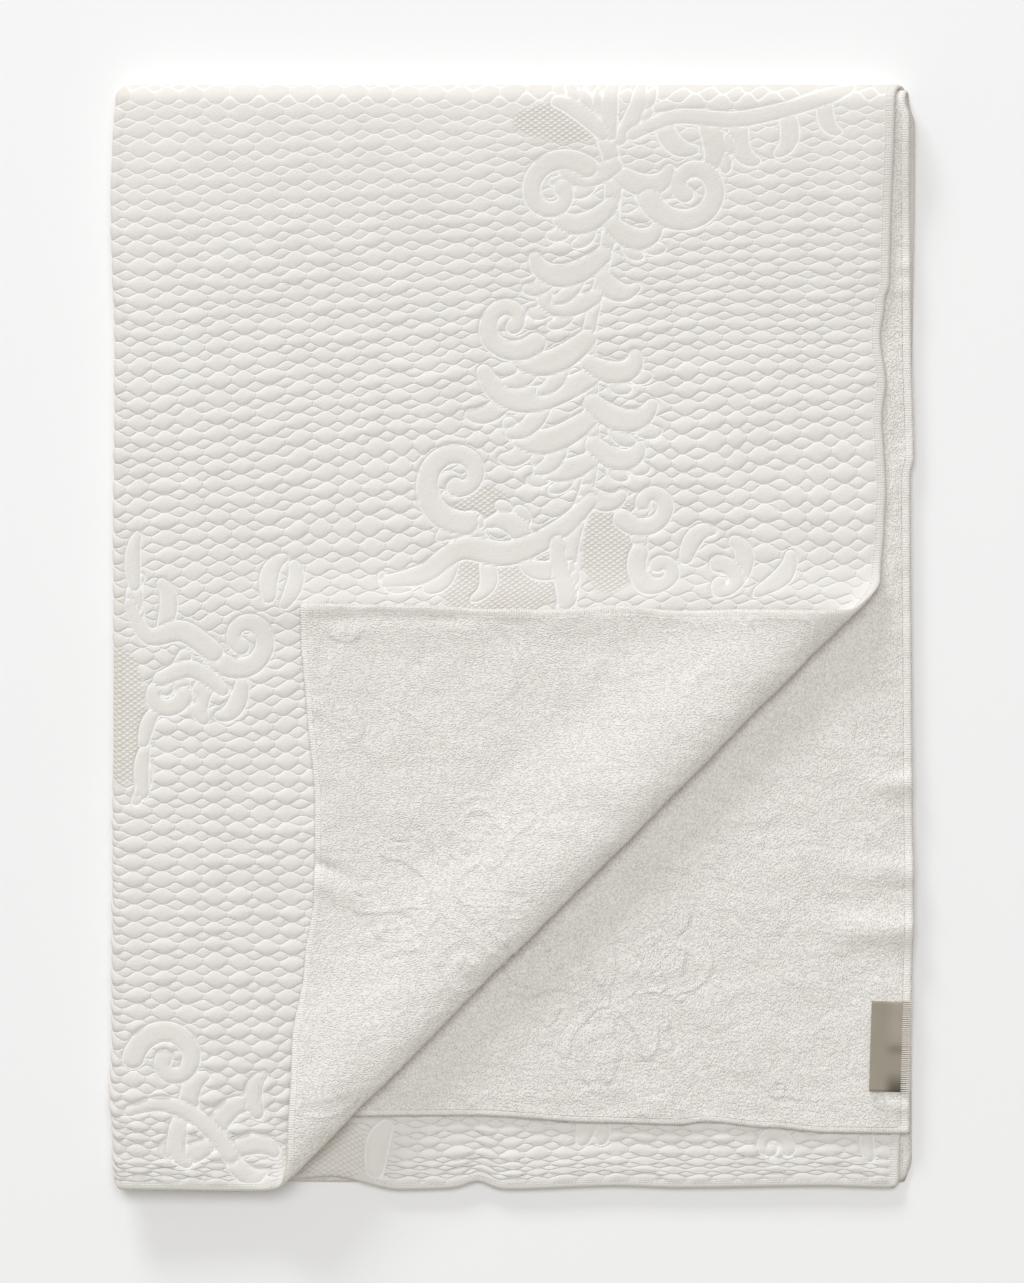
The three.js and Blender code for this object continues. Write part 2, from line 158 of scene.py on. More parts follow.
def eased(rows, at):
    """A table's value at each place: from each row to the next along a smooth step."""
    places = np.array([row[0] for row in rows], float)
    values = np.array([row[1] for row in rows], float)
    i = np.clip(np.searchsorted(places, at) - 1, 0, len(rows) - 2)
    share = np.clip((at - places[i]) / (places[i + 1] - places[i]), 0, 1)
    return values[i] + (values[i + 1] - values[i]) * share * share * (3 - 2 * share)


def cell_place(across, down):
    """Cells across and rows down at a distance from each fold. Both wander: rows rise a little to the right
    in the upper half and close up at the end hems, and noise moves every puff off its even place."""
    across_wandered = across + noises(WANDER_ACROSS, across, down)
    down_wandered = down + eased(ROW_TILT, down) * across + noises(WANDER_DOWN, across, down)
    return across_wandered / CELL_WIDE, (down_wandered + eased(ROW_GATHER, down)) / CELL_DEEP


def cell_relief(cells, rows):
    """Height of the puffs. The seams between rows are waves, a power of a cosine: a large puff fills the row
    where they meet and a small one where they part. Each rises as a dome, and no two quite as high."""
    x = np.abs(cells - np.round(cells))
    y = np.abs(rows - np.round(rows))
    parting = ((1 - np.cos(2 * np.pi * x)) / 2) ** CELL_WAIST_POWER
    edge = 0.5 - CELL_WAIST * parting
    chance = np.random.default_rng(PUFF_SEED).uniform(-1, 1, (128, 128))
    fullness = 1 + UNEVEN_PUFFS * chance[np.round(cells).astype(int) % 128, np.round(rows).astype(int) % 128]
    big = BIG_PUFF * fullness * np.clip(1 - (y / edge) ** 2, 0, 1) ** PUFF_POWER * (1 - 0.7 * (2 * x) ** 6)
    room = np.maximum(0.5 - edge, 1e-4)
    small = np.clip(1 - ((0.5 - y) / room) ** 2, 0, 1) ** PUFF_POWER * parting ** 0.6
    thinness = 1 + UNEVEN_PUFFS * chance[np.floor(cells).astype(int) % 128, np.floor(rows).astype(int) % 128]
    return np.where(y < edge, big, SMALL_PUFF * thinness * small)


# The ornament.
# A large branching scroll is woven into the quilting in plain, smooth bands that stand up between the
# cells: a stem with curling tendrils and leaves. Small areas beside it are woven as a fine diamond net.

# Bands run through points: across, down and half the width.
BANDS = {
    "foot": [(388, 338, 6), (362, 362, 8.5), (322, 378, 10), (284, 372, 9), (254, 390, 8), (224, 396, 5)],
    "foot end": [(362, 372, 6), (366, 396, 7), (378, 420, 7)],
    "side motif": [(14, 410, 4), (30, 436, 6.5), (58, 432, 8.5), (84, 448, 8)],
    "side motif low": [(92, 478, 5), (66, 462, 7), (40, 470, 6)],
    "top right": [(418, 40, 5), (452, 26, 6), (500, 28, 6.5), (548, 18, 6), (590, 6, 4)],
    "corner": [(16, 812, 4), (44, 806, 6), (74, 818, 7), (98, 846, 6.5)],
    "lower panel": [(330, 700, 5), (356, 738, 7), (389, 770, 8), (424, 736, 7), (450, 698, 5)],
}
STEM = [(378, 424, 8), (371, 378, 8.5), (384, 330, 6), (391, 282, 5), (387, 226, 6),
        (393, 164, 5), (403, 104, 6.5), (399, 52, 7), (374, 10, 6), (352, -14, 5)]

# Tendrils curl in from their outer end: centre across and down, outer radius, turns, where the outer end
# points (degrees, 0 along the rows, 90 down), which way they wind, and half the band's width.
TENDRILS = [
    (357, 88, 33, 1.0, -40, -1, 8.6), (466, 82, 35, 1.1, 160, -1, 9.2), (322, 190, 29, 1.0, 40, 1, 8.6),
    (281, 314, 38, 1.1, 80, 1, 9.6), (448, 394, 23, 0.95, 215, -1, 7.8), (500, 404, 17, 0.8, 250, 1, 7.0),
    (110, 437, 31, 1.15, 165, -1, 8.8), (42, 480, 18, 0.85, 10, 1, 7.4), (50, 772, 32, 1.05, 185, 1, 9.0),
    (524, 842, 15, 0.85, 10, -1, 5.4), (332, 744, 32, 1.1, -30, -1, 9.0),
    (446, 744, 32, 1.1, 210, 1, 9.0), (436, 340, 25, 0.9, 150, -1, 7.8),
]

# Lobes are leaves that leave a stem broad and end in a small hook: base across and down, direction, length,
# half the width, and how far they bend from base to tip, in degrees.
LOBES = [
    (404, 66, 150, 50, 8.2, 110), (402, 98, 136, 54, 8.0, 118), (396, 138, 140, 66, 9.0, 112),
    (391, 172, 152, 52, 8.0, 108), (387, 206, 140, 74, 9.4, 100), (386, 238, 152, 98, 10.2, 96),
    (389, 270, 142, 78, 9.6, 104), (389, 304, 150, 52, 8.4, 100), (408, 72, 34, 48, 8.4, -112),
    (402, 112, 44, 46, 8.4, -116), (394, 152, 60, 38, 7.4, -110), (387, 226, 30, 48, 8.6, -118),
    (390, 258, 40, 58, 9.2, -110), (391, 292, 44, 46, 8.6, -120), (384, 330, 40, 34, 7.4, -100),
    (440, 28, 70, 40, 7.6, -80), (474, 26, 60, 46, 8.2, 70), (504, 28, 100, 40, 7.8, -90),
    (540, 22, 70, 36, 7.2, 80), (572, 12, 96, 30, 6.4, -80), (400, 40, 262, 44, 6.4, 34),
    (394, 40, 226, 48, 6.2, -36), (408, 44, 300, 44, 6.4, -30), (340, 376, 246, 46, 7.8, -90),
    (306, 380, 240, 50, 8.2, -96), (276, 376, 96, 36, 7.0, 90), (304, 384, 70, 32, 6.8, 90),
    (372, 392, 170, 40, 7.4, 60), (250, 392, 150, 34, 7.0, 90), (430, 372, 250, 32, 7.0, 80),
    (468, 384, 280, 34, 7.0, 90), (512, 400, 290, 36, 7.2, -90), (532, 408, 330, 38, 7.2, -70),
    (22, 424, 250, 36, 6.4, 60), (42, 430, 288, 38, 6.8, -60), (18, 396, 262, 40, 5.8, 30),
    (128, 404, 262, 34, 7.0, 80), (142, 410, 300, 32, 6.4, -60), (60, 452, 110, 38, 7.4, -90),
    (84, 466, 130, 40, 7.8, -80), (108, 474, 100, 34, 7.0, 80), (26, 560, 262, 38, 5.8, 34),
    (20, 566, 300, 30, 5.2, -30), (26, 520, 280, 30, 5.4, 40), (68, 816, 256, 38, 7.6, 90),
    (86, 828, 296, 40, 7.8, 80), (100, 842, 336, 38, 7.6, 80), (58, 818, 112, 38, 7.2, -80),
    (80, 838, 150, 40, 7.6, 80), (98, 848, 56, 32, 7.0, -90), (122, 812, 250, 32, 6.8, 80),
    (389, 776, 100, 62, 9.4, 10), (380, 772, 146, 54, 9.0, -80), (398, 772, 34, 54, 9.0, 80),
    (374, 760, 200, 46, 8.2, -80), (404, 760, -20, 46, 8.2, 80), (389, 764, 262, 64, 8.6, 16),
    (208, 862, 274, 40, 8.0, 34), (604, 850, 250, 24, 5.0, 60),
]

BAND_RISE = 0.8
LOBE_STEPS = 25
BRANCHING_LENGTH = 43

# Distances from the ornament's edge are worked out this far from each piece. Beyond it all is far outside.
EDGE_MARGIN = 22
FAR_OUTSIDE = -40.0

# How full the relief is at each distance below the top fold, where the cloth is drawn flat.
RELIEF_DOWN = [(0, 0.4), (40, 0.6), (170, 1.0), (350, 1.05), (396, 0.7), (425, 0.7), (470, 1.05), (740, 1.2),
               (830, 1.8), (900, 2.0)]

# Areas of net: centre across and down, and half its size each way.
NETS = [
    ("between the upper tendrils", 366, 30, 46, 17),
    ("beside the foot", 320, 402, 52, 30),
    ("right of the stem's foot", 408, 374, 26, 42),
    ("along the side fold", 8, 500, 20, 56),
    ("inside the lower left tendril", 300, 338, 22, 16),
    ("above the hem", 172, 852, 34, 26),
    ("over the lower panel", 389, 700, 36, 20),
]


def tendril_path(across, down, radius, turns, opening, hand, half_width):
    """A spiral whose radius shrinks evenly in its logarithm from the outer end to a round bud."""
    share = np.linspace(0, 1, 60)
    angle = np.radians(opening) + hand * share * turns * 2 * np.pi
    reach = radius * 0.22 ** share
    taper = half_width * (1 - 0.42 * share) + 1.6 * smooth_step(0.8, 1, share)
    return np.stack([across + reach * np.cos(angle), down + reach * np.sin(angle), taper], axis=1)


def lobe_path(across, down, direction, length, half_width, bend):
    """A line that turns more and more by the bend, with a half width that shrinks towards its round end."""
    share = np.linspace(0, 1, LOBE_STEPS + 1)
    angle = np.radians(direction + bend * share ** 2)
    x = across + length / LOBE_STEPS * np.concatenate([[0], np.cumsum(np.cos(angle[1:]))])
    y = down + length / LOBE_STEPS * np.concatenate([[0], np.cumsum(np.sin(angle[1:]))])
    return np.stack([x, y, half_width * (0.8 + 0.3 * np.sin(np.pi * share) - 0.22 * share ** 3)], axis=1)


def band_path(points):
    """A smooth line through points, with the half width eased between them in the same way."""
    points = np.array(points, float)
    share = np.linspace(0, len(points) - 1, 20 * len(points))
    i = np.clip(share.astype(int), 0, len(points) - 2)
    t = (share - i)[:, None]
    before = points[np.maximum(i - 1, 0)]
    after = points[np.minimum(i + 2, len(points) - 1)]
    return 0.5 * (2 * points[i] + (points[i + 1] - before) * t
                  + (2 * before - 5 * points[i] + 4 * points[i + 1] - after) * t ** 2
                  + (3 * points[i] - before - 3 * points[i + 1] + after) * t ** 3)


def leaf_paths(across, down, direction, length, half_width, bend):
    """A lobe, and on a long one two smaller ones under it, which branch off its outer side at two fifths and
    at two thirds of its length."""
    main = lobe_path(across, down, direction, length, half_width, bend)
    hand = -np.sign(bend)
    parts = []
    for place, turn, share in ((9, 52, 0.46), (17, 62, 0.38)):
        x, y, _ = main[place]
        heading = direction + bend * (place / LOBE_STEPS) ** 2 + hand * turn
        parts.append(lobe_path(x, y, heading, share * length, 0.72 * half_width, -hand * 70))
    return parts + [main] if length > BRANCHING_LENGTH else [main]


def ornament_paths():
    """The stem first, then the leaves from its foot up, the tendrils and the bands, each over the last."""
    paths = [band_path(STEM)]
    paths += [path for row in sorted(LOBES, key=lambda row: -row[1]) for path in leaf_paths(*row)]
    paths += [tendril_path(*row) for row in TENDRILS]
    return paths + [band_path(points) for points in BANDS.values()]


def ornament_depth(across, down):
    """Distance inwards from the nearest drawn edge of the ornament: above 0 inside it and below 0 outside.
    Each piece is a row of discs along its path, and lies over the pieces before it."""
    depth = np.full(across.shape, FAR_OUTSIDE)
    for path in ornament_paths():
        low = path[:, :2].min(0) - EDGE_MARGIN
        high = path[:, :2].max(0) + EDGE_MARGIN
        here = np.flatnonzero((across > low[0]) & (across < high[0]) & (down > low[1]) & (down < high[1]))
        if not len(here):
            continue
        inside = np.full(len(here), FAR_OUTSIDE)
        for x, y, half_width in path:
            inside = np.maximum(inside, half_width - np.hypot(across[here] - x, down[here] - y))
        old = depth[here]
        beside = np.sign(old) * np.minimum(np.abs(old), np.abs(inside))
        depth[here] = np.where(inside > 0, inside, beside)
    return depth


def net_share(across, down):
    """1 inside the net areas and 0 outside, with a soft edge a few millimetres wide."""
    share = np.zeros(across.shape)
    for _, x, y, half_wide, half_tall in NETS:
        ring = np.hypot((across - x) / half_wide, (down - y) / half_tall)
        share = np.maximum(share, 1 - smooth_step(0.9, 1.05, ring))
    return share


# The folded cloth.
# One sheet of quilted cotton about 1.26 m by 1.75 m, hemmed all round. It is folded in half at the left and
# again over the top, and the lower right corner of its top layer is turned back to show the reverse.

MM = 0.001
CLOTH_THICK = 3.4
HALF_WIDE = 628
HALF_LONG = 874
HEM_WIDE = 7
SIDE_FOLD_X = -317
TOP_FOLD_Y = 436.5
FOLD_PITCH = 8.4
HEM_PITCH = 5.2
SETTLE_REACH = 210
SIDE_RADIUS = FOLD_PITCH / 2
TOP_RADIUS = FOLD_PITCH
SIDE_ARC = SIDE_RADIUS * np.pi / 2
TOP_ARC = TOP_RADIUS * np.pi / 2
TOP_AXIS_Y = TOP_FOLD_Y - TOP_RADIUS - SIDE_RADIUS - CLOTH_THICK / 2
PACKET_MIDDLE_Z = CLOTH_THICK / 2 + 1.5 * FOLD_PITCH
OUTLINE_MIDDLE = np.array([-0.936, -0.834])

# How far the side fold wanders, and the hems of the four layers from the top one down: place, then value.
SIDE_FOLD_LINE = [(-431, 0.6), (-395, -0.2), (-372, -2.5), (-330, -0.8), (30, 0.2), (267, 1.4),
                  (297, -0.6), (358, -2.1), (403, -0.6), (424, 0.8), (434, 2.0)]
RIGHT_HEM = {
    "first": [(-424, 280), (-200, 277.5), (10, 274), (46, 289.5), (91, 292.7), (121, 294), (180, 291),
              (207, 293.9), (245, 289.5), (273, 292.7), (290, 296.8), (436, 300)],
    "second": [(-394, 313), (-230, 316), (-124, 315), (121, 313.6), (136, 316.5), (236, 314.2),
               (286, 313.8), (424, 312.5), (437, 308.5)],
    "third": [(-437, 299.5), (-434.5, 303), (-430, 304.9), (-390, 305.8), (0, 311), (420, 317.3),
              (437, 313)],
    "fourth": [(-434, 309.5), (-430.5, 313.2), (-424, 315), (0, 313.5), (420, 317), (437, 312)],
}
BOTTOM_HEM = {
    "first": [(-317, -436.5), (-202, -438), (-150, -432.2), (-72, -428.4), (-1, -419), (47, -412.6),
              (126, -412.6), (205, -419), (280, -423)],
    "second": [(-317, -421), (-137, -379.6), (-35, -379.3), (68, -385), (131, -386.7), (150, -384.3),
               (202, -389), (250, -393), (313, -393.8)],
    "third": [(-317, -424), (-172, -429.4), (-146, -427.8), (-90, -438.6), (-43, -437.6),
              (-12, -438.6), (82, -435.7), (131, -437.3), (244, -435.7), (304, -437.3)],
    "fourth": [(-317, -432), (250, -434), (302, -433.6), (309, -432.4), (313.5, -429.5)],
}

# The side fold draws in at the packet's corners, and the inner leaf's top fold stands out towards its hem:
# how far, and over what reach. From the top fold on the layers sink to their height between these places.
CORNER_ROUND = 5.5
CORNER_REACH = 26
TIGHT_FOLD = 4.3
TIGHT_FOLD_REACH = 90
NEAR_TOP_FOLD = (14, 110)

# The turned corner's section: where its edge stands across the 45 degree line, and the roll's reach,
# height and long fall to the layer it lies on.
TURN_EDGE = 177
TURN_REACH = 24
TURN_HEIGHT = 20
TURN_FALL = 90
FLAP_RISE = 6.8
TURN_START = TURN_EDGE - CLOTH_THICK / 2 - TURN_REACH

# Soft ridges: one under the flap's top hem, and some that run in from the second layer's free right hem,
# each with its height along the hem, its rise, half its width and its reach inwards.
FLAP_RIDGE_Y = 27
FLAP_RIDGE_RISE = 3.6
FLAP_RIDGE_SPREAD = 19
HEM_RIDGES = [(294, 1.6, 6, 26), (275, 1.6, 7, 26), (-92, 1.6, 10, 40), (-116, 4.6, 10, 60),
              (-187, 4.8, 14, 84), (-209, 1.6, 7, 40), (-232, 6.0, 13, 120), (-286, 2.6, 15, 60),
              (-360, 1.5, 6, 30), (-372, 2.4, 6, 36)]

# The third layer's bottom hem is pushed in at one place: where, how far, half the width and the reach.
HEM_NOTCH = (-29, 6.0, 12, 46)

# At the right hems the layers lie this close to each other, and rise to their full pitch over this reach.
HEM_AIR = 0.7
HEM_DROOP_REACH = 18

# Slow swells of the whole pile and small lumps of the reverse: height, pitch and seed of each noise, and
# how far from the middle they all start.
LOFT = [(1.5, 150, 21), (0.5, 52, 22)]
LUMPS = [(0.8, 40, 24), (0.25, 15, 25)]
NOISE_START = 900

# The turned corner's hems lift and sway: how far, the pitch along the hem and where that noise starts. Both
# fade inwards over the same reach, and only the part that lies free has them.
FLAP_LIFT, FLAP_LIFT_PITCH, FLAP_LIFT_START = 1.8, 43, 1500
FLAP_SWAY, FLAP_SWAY_PITCH, FLAP_SWAY_START = 2.3, 52, 1200
FLAP_LIFT_SEED = 31
FLAP_EDGE_REACH = 30
FLAP_FREE = (60, 130)

# A crease runs under its top hem, and a dimple with a swell below it slopes in from its left hem: place,
# half width and height.
UNDER_HEM_CREASE = (15, 6, 1.9)
DIMPLE_X = -161
DIMPLE_SLOPE = 0.42
DIMPLE = (-177, 4.5, 2.6)
DIMPLE_SWELL = (-193, 9, 2.2)


def layer_mix(hems, at, outer, upper):
    """A hem's place, mixed from the four layers by the shares on the outer leaf and on the upper half."""
    above = eased(hems["second"], at) * (1 - outer) + eased(hems["first"], at) * outer
    below = eased(hems["third"], at) * (1 - outer) + eased(hems["fourth"], at) * outer
    return below * (1 - upper) + above * upper


def settling(x, y):
    """The share of its height at the folds that the pile keeps: 1 at the folds, less further in."""
    inward = smooth_step(0, SETTLE_REACH, x - SIDE_FOLD_X) * smooth_step(0, SETTLE_REACH, TOP_FOLD_Y - y)
    return 1 + (HEM_PITCH / FOLD_PITCH - 1) * inward


def loft(x, y):
    """Slow swells of the pile, the more the higher the layer, in millimetres for the top one."""
    return noises(LOFT, x + NOISE_START, y + NOISE_START)


def flap_ridge(x, y):
    """A bell-shaped ridge along the turned corner's top hem, fading to the left."""
    across = (y - FLAP_RIDGE_Y) / FLAP_RIDGE_SPREAD
    return FLAP_RIDGE_RISE * np.exp(-across ** 2) * smooth_step(-250, -150, x)


def hem_ridges(x, y):
    """Bell-shaped ridges on the second layer that fade inwards from its right hem."""
    inset = eased(RIGHT_HEM["second"], y) - x
    total = np.zeros(np.shape(x))
    for place, rise, spread, reach in HEM_RIDGES:
        total += rise * np.exp(-((y - place) / spread) ** 2) * smooth_step(0, reach, reach - inset)
    return total


def hem_distance(side, top):
    """Distance from the nearest hem, and distance along it, which runs on round each corner. The end hems
    are narrower than the side ones, so distances from them count for more."""
    from_side = HALF_WIDE - np.abs(side)
    from_top = 1.4 * (HALF_LONG - np.abs(top))
    run = np.where(from_side < from_top, np.abs(top), np.abs(side) + HALF_LONG - HALF_WIDE)
    return np.minimum(from_side, from_top), run


def hem_droop(x, y, layer):
    """How far a layer sinks at the right hems, where each lies close on the one below: the sum over the
    layers from the second lowest up of the air under it, times a bell of the distance from its hem."""
    air = np.maximum(0, FOLD_PITCH * settling(x, y) - CLOTH_THICK - HEM_AIR)
    air = air * smooth_step(*NEAR_TOP_FOLD, TOP_FOLD_Y - y)
    total = np.zeros(np.shape(x))
    for level, hem in ((1, "third"), (2, "second"), (3, "first")):
        inset = np.maximum(0, eased(RIGHT_HEM[hem], y) - x)
        total += air * np.exp(-(inset / HEM_DROOP_REACH) ** 2) * np.clip(layer - level + 1, 0, 1)
    return total


def flap_wrinkles(side, top, x, y):
    """Small lifts along the turned corner's hems, where a noise is above 0, less a crease under its top hem
    and a dimple at its left one, and with a swell below the dimple. All three are bells across a line."""
    hem_gap, hem_run = hem_distance(side, top)
    waves = soft_noise(hem_run + FLAP_LIFT_START, 0 * hem_run, FLAP_LIFT_PITCH, FLAP_LIFT_SEED)
    lifts = FLAP_LIFT * np.maximum(0, waves) * np.exp(-hem_gap / FLAP_EDGE_REACH)
    along = x - DIMPLE_X
    sloping_y = y + DIMPLE_SLOPE * along

    def bell(at, row):
        """The bell of a row's place, half width and height."""
        place, spread, height = row
        return height * np.exp(-((at - place) / spread) ** 2)

    under_hem = bell(y, UNDER_HEM_CREASE) * smooth_step(-170, -130, x) * (1 - smooth_step(-60, 20, x))
    dimple = bell(sloping_y, DIMPLE) * (1 - smooth_step(12, 46, along))
    swell = bell(sloping_y, DIMPLE_SWELL) * (1 - smooth_step(20, 80, along))
    return lifts - under_hem - dimple + swell


def flap_sway(side, top, seed):
    """How far the turned corner's hems wander in the plane: a noise along them that fades inwards."""
    hem_gap, hem_run = hem_distance(side, top)
    waves = soft_noise(hem_run + FLAP_SWAY_START, 0 * hem_run, FLAP_SWAY_PITCH, seed)
    return FLAP_SWAY * waves * np.exp(-hem_gap / FLAP_EDGE_REACH)


def turn_section():
    """Path, reach and height along the turned corner: half an ellipse, then a cosine fall to the layer."""
    angle = np.pi * (np.linspace(0, 1, 361) - 0.5)
    share = np.linspace(0, 1, 361)[1:]
    fall = TURN_HEIGHT - (TURN_HEIGHT - FLAP_RISE) * (1 - np.cos(np.pi * share)) / 2
    reach = np.concatenate([TURN_REACH * np.cos(angle), -TURN_FALL * share, [-TURN_FALL - 900]])
    height = np.concatenate([TURN_HEIGHT / 2 * (1 + np.sin(angle)), fall, [FLAP_RISE]])
    path = np.concatenate([[0], np.cumsum(np.hypot(np.diff(reach), np.diff(height)))])
    return path, reach, height


def fold_in_four(side, top, lift):
    """Where the flat cloth lies before its corner is turned. Side and top are distances from the two folds,
    above 0 on the outer leaf and the upper half, and lift is the height off the cloth's middle towards its
    quilted face. Each fold is a half circle, and beyond it the cloth runs straight to its hem, which is
    pushed in by a bell at one place below."""
    side_turn = np.clip(side / SIDE_RADIUS, -np.pi / 2, np.pi / 2)
    top_turn = np.clip(top / TOP_RADIUS, -np.pi / 2, np.pi / 2)
    outer = (1 + np.sin(side_turn)) / 2
    upper = (1 + np.sin(top_turn)) / 2
    side_run = np.maximum(0, np.abs(side) - SIDE_ARC) / (HALF_WIDE - SIDE_ARC)
    top_run = np.maximum(0, np.abs(top) - TOP_ARC) / (HALF_LONG - TOP_ARC)
    guess_y = TOP_FOLD_Y * (1 - 2 * top_run)
    fold_x = SIDE_FOLD_X + eased(SIDE_FOLD_LINE, guess_y)
    bend_x = fold_x + SIDE_RADIUS + CLOTH_THICK / 2
    hem_x = layer_mix(RIGHT_HEM, guess_y, outer, upper)
    corner = CORNER_ROUND * np.cos(top_turn) ** 5 * (1 - smooth_step(0, CORNER_REACH, side_run * HALF_WIDE))
    flat_x = bend_x + corner + (hem_x - bend_x) * side_run
    x = flat_x - (SIDE_RADIUS + lift) * np.cos(side_turn)
    hem_y = layer_mix(BOTTOM_HEM, x, outer, upper)
    flat_y = TOP_AXIS_Y + (hem_y - TOP_AXIS_Y) * top_run
    place, depth, spread, reach = HEM_NOTCH
    notch = depth * np.exp(-((x - place) / spread) ** 2) * smooth_step(HALF_LONG - reach, HALF_LONG, -top)
    flat_y = flat_y + notch * (1 - outer)
    ring_middle = TOP_RADIUS + SIDE_RADIUS * np.sin(side_turn)
    ring = ring_middle + lift * np.sin(side_turn)
    tight = TIGHT_FOLD * (1 - outer) * smooth_step(HALF_WIDE - TIGHT_FOLD_REACH, HALF_WIDE, np.abs(side))
    y = flat_y + (ring + tight) * np.cos(top_turn)
    middle_z = PACKET_MIDDLE_Z + ring_middle * np.sin(top_turn)
    layer = (middle_z - CLOTH_THICK / 2) / FOLD_PITCH
    base = CLOTH_THICK / 2 + layer * FOLD_PITCH * settling(x, y) + layer / 3 * loft(x, y)
    near_fold = 1 - smooth_step(*NEAR_TOP_FOLD, TOP_FOLD_Y - y)
    z = base + (ring - ring_middle + tight * near_fold) * np.sin(top_turn)
    return x, y, z, outer, upper


def across_turn(side, top):
    """Distance across the turned corner's line on the top layer, and far below 0 on the others."""
    x, y, *_ = fold_in_four(side, top, 0.0)
    on_top = (side > SIDE_ARC) & (top > TOP_ARC)
    return np.where(on_top, (x - y) / np.sqrt(2), -9999.0)


def place_cloth(side, top, lift):
    """Where the flat cloth lies in the finished packet, in millimetres: folded in four, raised by its
    ridges, and with the corner carried round the turned section."""
    x, y, z, outer, upper = fold_in_four(side, top, lift)
    second = (side < -SIDE_ARC) & (top > TOP_ARC)
    z = z - hem_droop(x, y, np.where(upper > 0.5, 2 + outer, 1 - outer))
    z = z + np.where(second, hem_ridges(x, y), 0)
    z = z + np.where((side > -SIDE_ARC) & (top > TOP_ARC), flap_ridge(x, y) * outer, 0)
    along_path = across_turn(side, top) - TURN_START
    turned = along_path > 0
    flat_x, flat_y, *_ = fold_in_four(side, top, 0.0)
    path, reach, height = turn_section()
    run = np.interp(along_path, path, np.gradient(reach, path))
    climb = np.interp(along_path, path, np.gradient(height, path))
    line = (flat_x + flat_y) / np.sqrt(2)
    across = TURN_START + np.interp(along_path, path, reach) - climb * lift
    far = smooth_step(*FLAP_FREE, along_path)
    turned_x = (line + across) / np.sqrt(2) + far * flap_sway(side, top, 34)
    turned_y = (line - across) / np.sqrt(2) + far * flap_sway(side, top, 33)
    bed = CLOTH_THICK / 2 + 3 * FOLD_PITCH * settling(turned_x, turned_y) + loft(turned_x, turned_y)
    bed = bed + flap_ridge(turned_x, turned_y) - hem_droop(turned_x, turned_y, 3 + 0 * x)
    wrinkles = far * flap_wrinkles(side, top, turned_x, turned_y)
    turned_z = bed + wrinkles + np.interp(along_path, path, height) + run * lift
    return np.where(turned, turned_x, x), np.where(turned, turned_y, y), np.where(turned, turned_z, z)


# How the faces stand off the cloth: the bead along a hem, how far the net flattens the puffs and its own
# rise, and how strongly the ornament and the puffs print through to the reverse.
HEM_BEAD = 0.4
NET_FLATTENS = 0.85
NET_RISE = 0.3
BAND_PRINT = 2.0
PUFF_PRINT = 0.4

# The flat cloth is divided along these lines, and its cells are gathered in blocks of eight by eight
# lines. A block is cut into cells of one, two, four or eight lines by what shows there.
BLOCK = 8
LEAF_LINES = 240
HALF_LINES = 376
BEND_LINES = 16


def division_lines(half, arc, count):
    """Even lines from one hem to its fold, closer ones round the fold, and even ones to the other hem."""
    first = np.linspace(-half, -arc, count + 1)
    bend = np.linspace(-arc, arc, BEND_LINES + 1)[1:]
    last = np.linspace(arc, half, count + 1)[1:]
    return np.concatenate([first, bend, last])


side_lines = division_lines(HALF_WIDE, SIDE_ARC, LEAF_LINES)
top_lines = division_lines(HALF_LONG, TOP_ARC, HALF_LINES)
block_side = (side_lines[:-1:BLOCK] + side_lines[BLOCK::BLOCK])[:, None] / 2
block_top = (top_lines[:-1:BLOCK] + top_lines[BLOCK::BLOCK])[None, :] / 2


def block_levels():
    """How coarse each block's cells are on the quilted face and on the reverse, as powers of two: finest
    where a face shows, coarser under the turned corner, and coarsest between the layers."""
    side, top = np.broadcast_arrays(block_side, block_top)
    x, y, *_ = fold_in_four(side, top, 0.0)
    slant = (x - y) / np.sqrt(2)
    first = (side > SIDE_ARC) & (top > TOP_ARC)
    second = (side < -SIDE_ARC) & (top > TOP_ARC)
    third = (side < -SIDE_ARC) & (top < -TOP_ARC)
    side_bend = np.abs(side) < SIDE_ARC
    top_bend = np.abs(top) < TOP_ARC
    near_hem = np.minimum(HALF_WIDE - np.abs(side), HALF_LONG - np.abs(top)) < 16
    quilted = np.full(side.shape, 3)
    reverse = np.full(side.shape, 3)
    quilted[near_hem] = 1
    reverse[near_hem] = 1
    turning = first & (slant > TURN_START - 14)
    quilted[turning] = 2
    quilted[turning & (slant < TURN_START + 80)] = 1
    quilted[first & (slant < TURN_START + 14)] = 0
    quilted[first & (slant < TURN_START - 10) & (x > -130) & (y < 0)] = 2
    quilted[third & (y < -330) & (x > -230)] = 0
    reverse[turning] = 1
    reverse[turning & (slant < TURN_START + 84)] = 0
    reverse[turning & near_hem] = 0
    reverse[second & (slant > TURN_START - 20)] = 1
    reverse[second & near_hem] = 0
    quilted[side_bend | top_bend] = 1
    reverse[side_bend | top_bend] = 1
    quilted[side_bend & (top > -TOP_ARC)] = 0
    quilted[top_bend & (side > -SIDE_ARC)] = 0
    return quilted, reverse


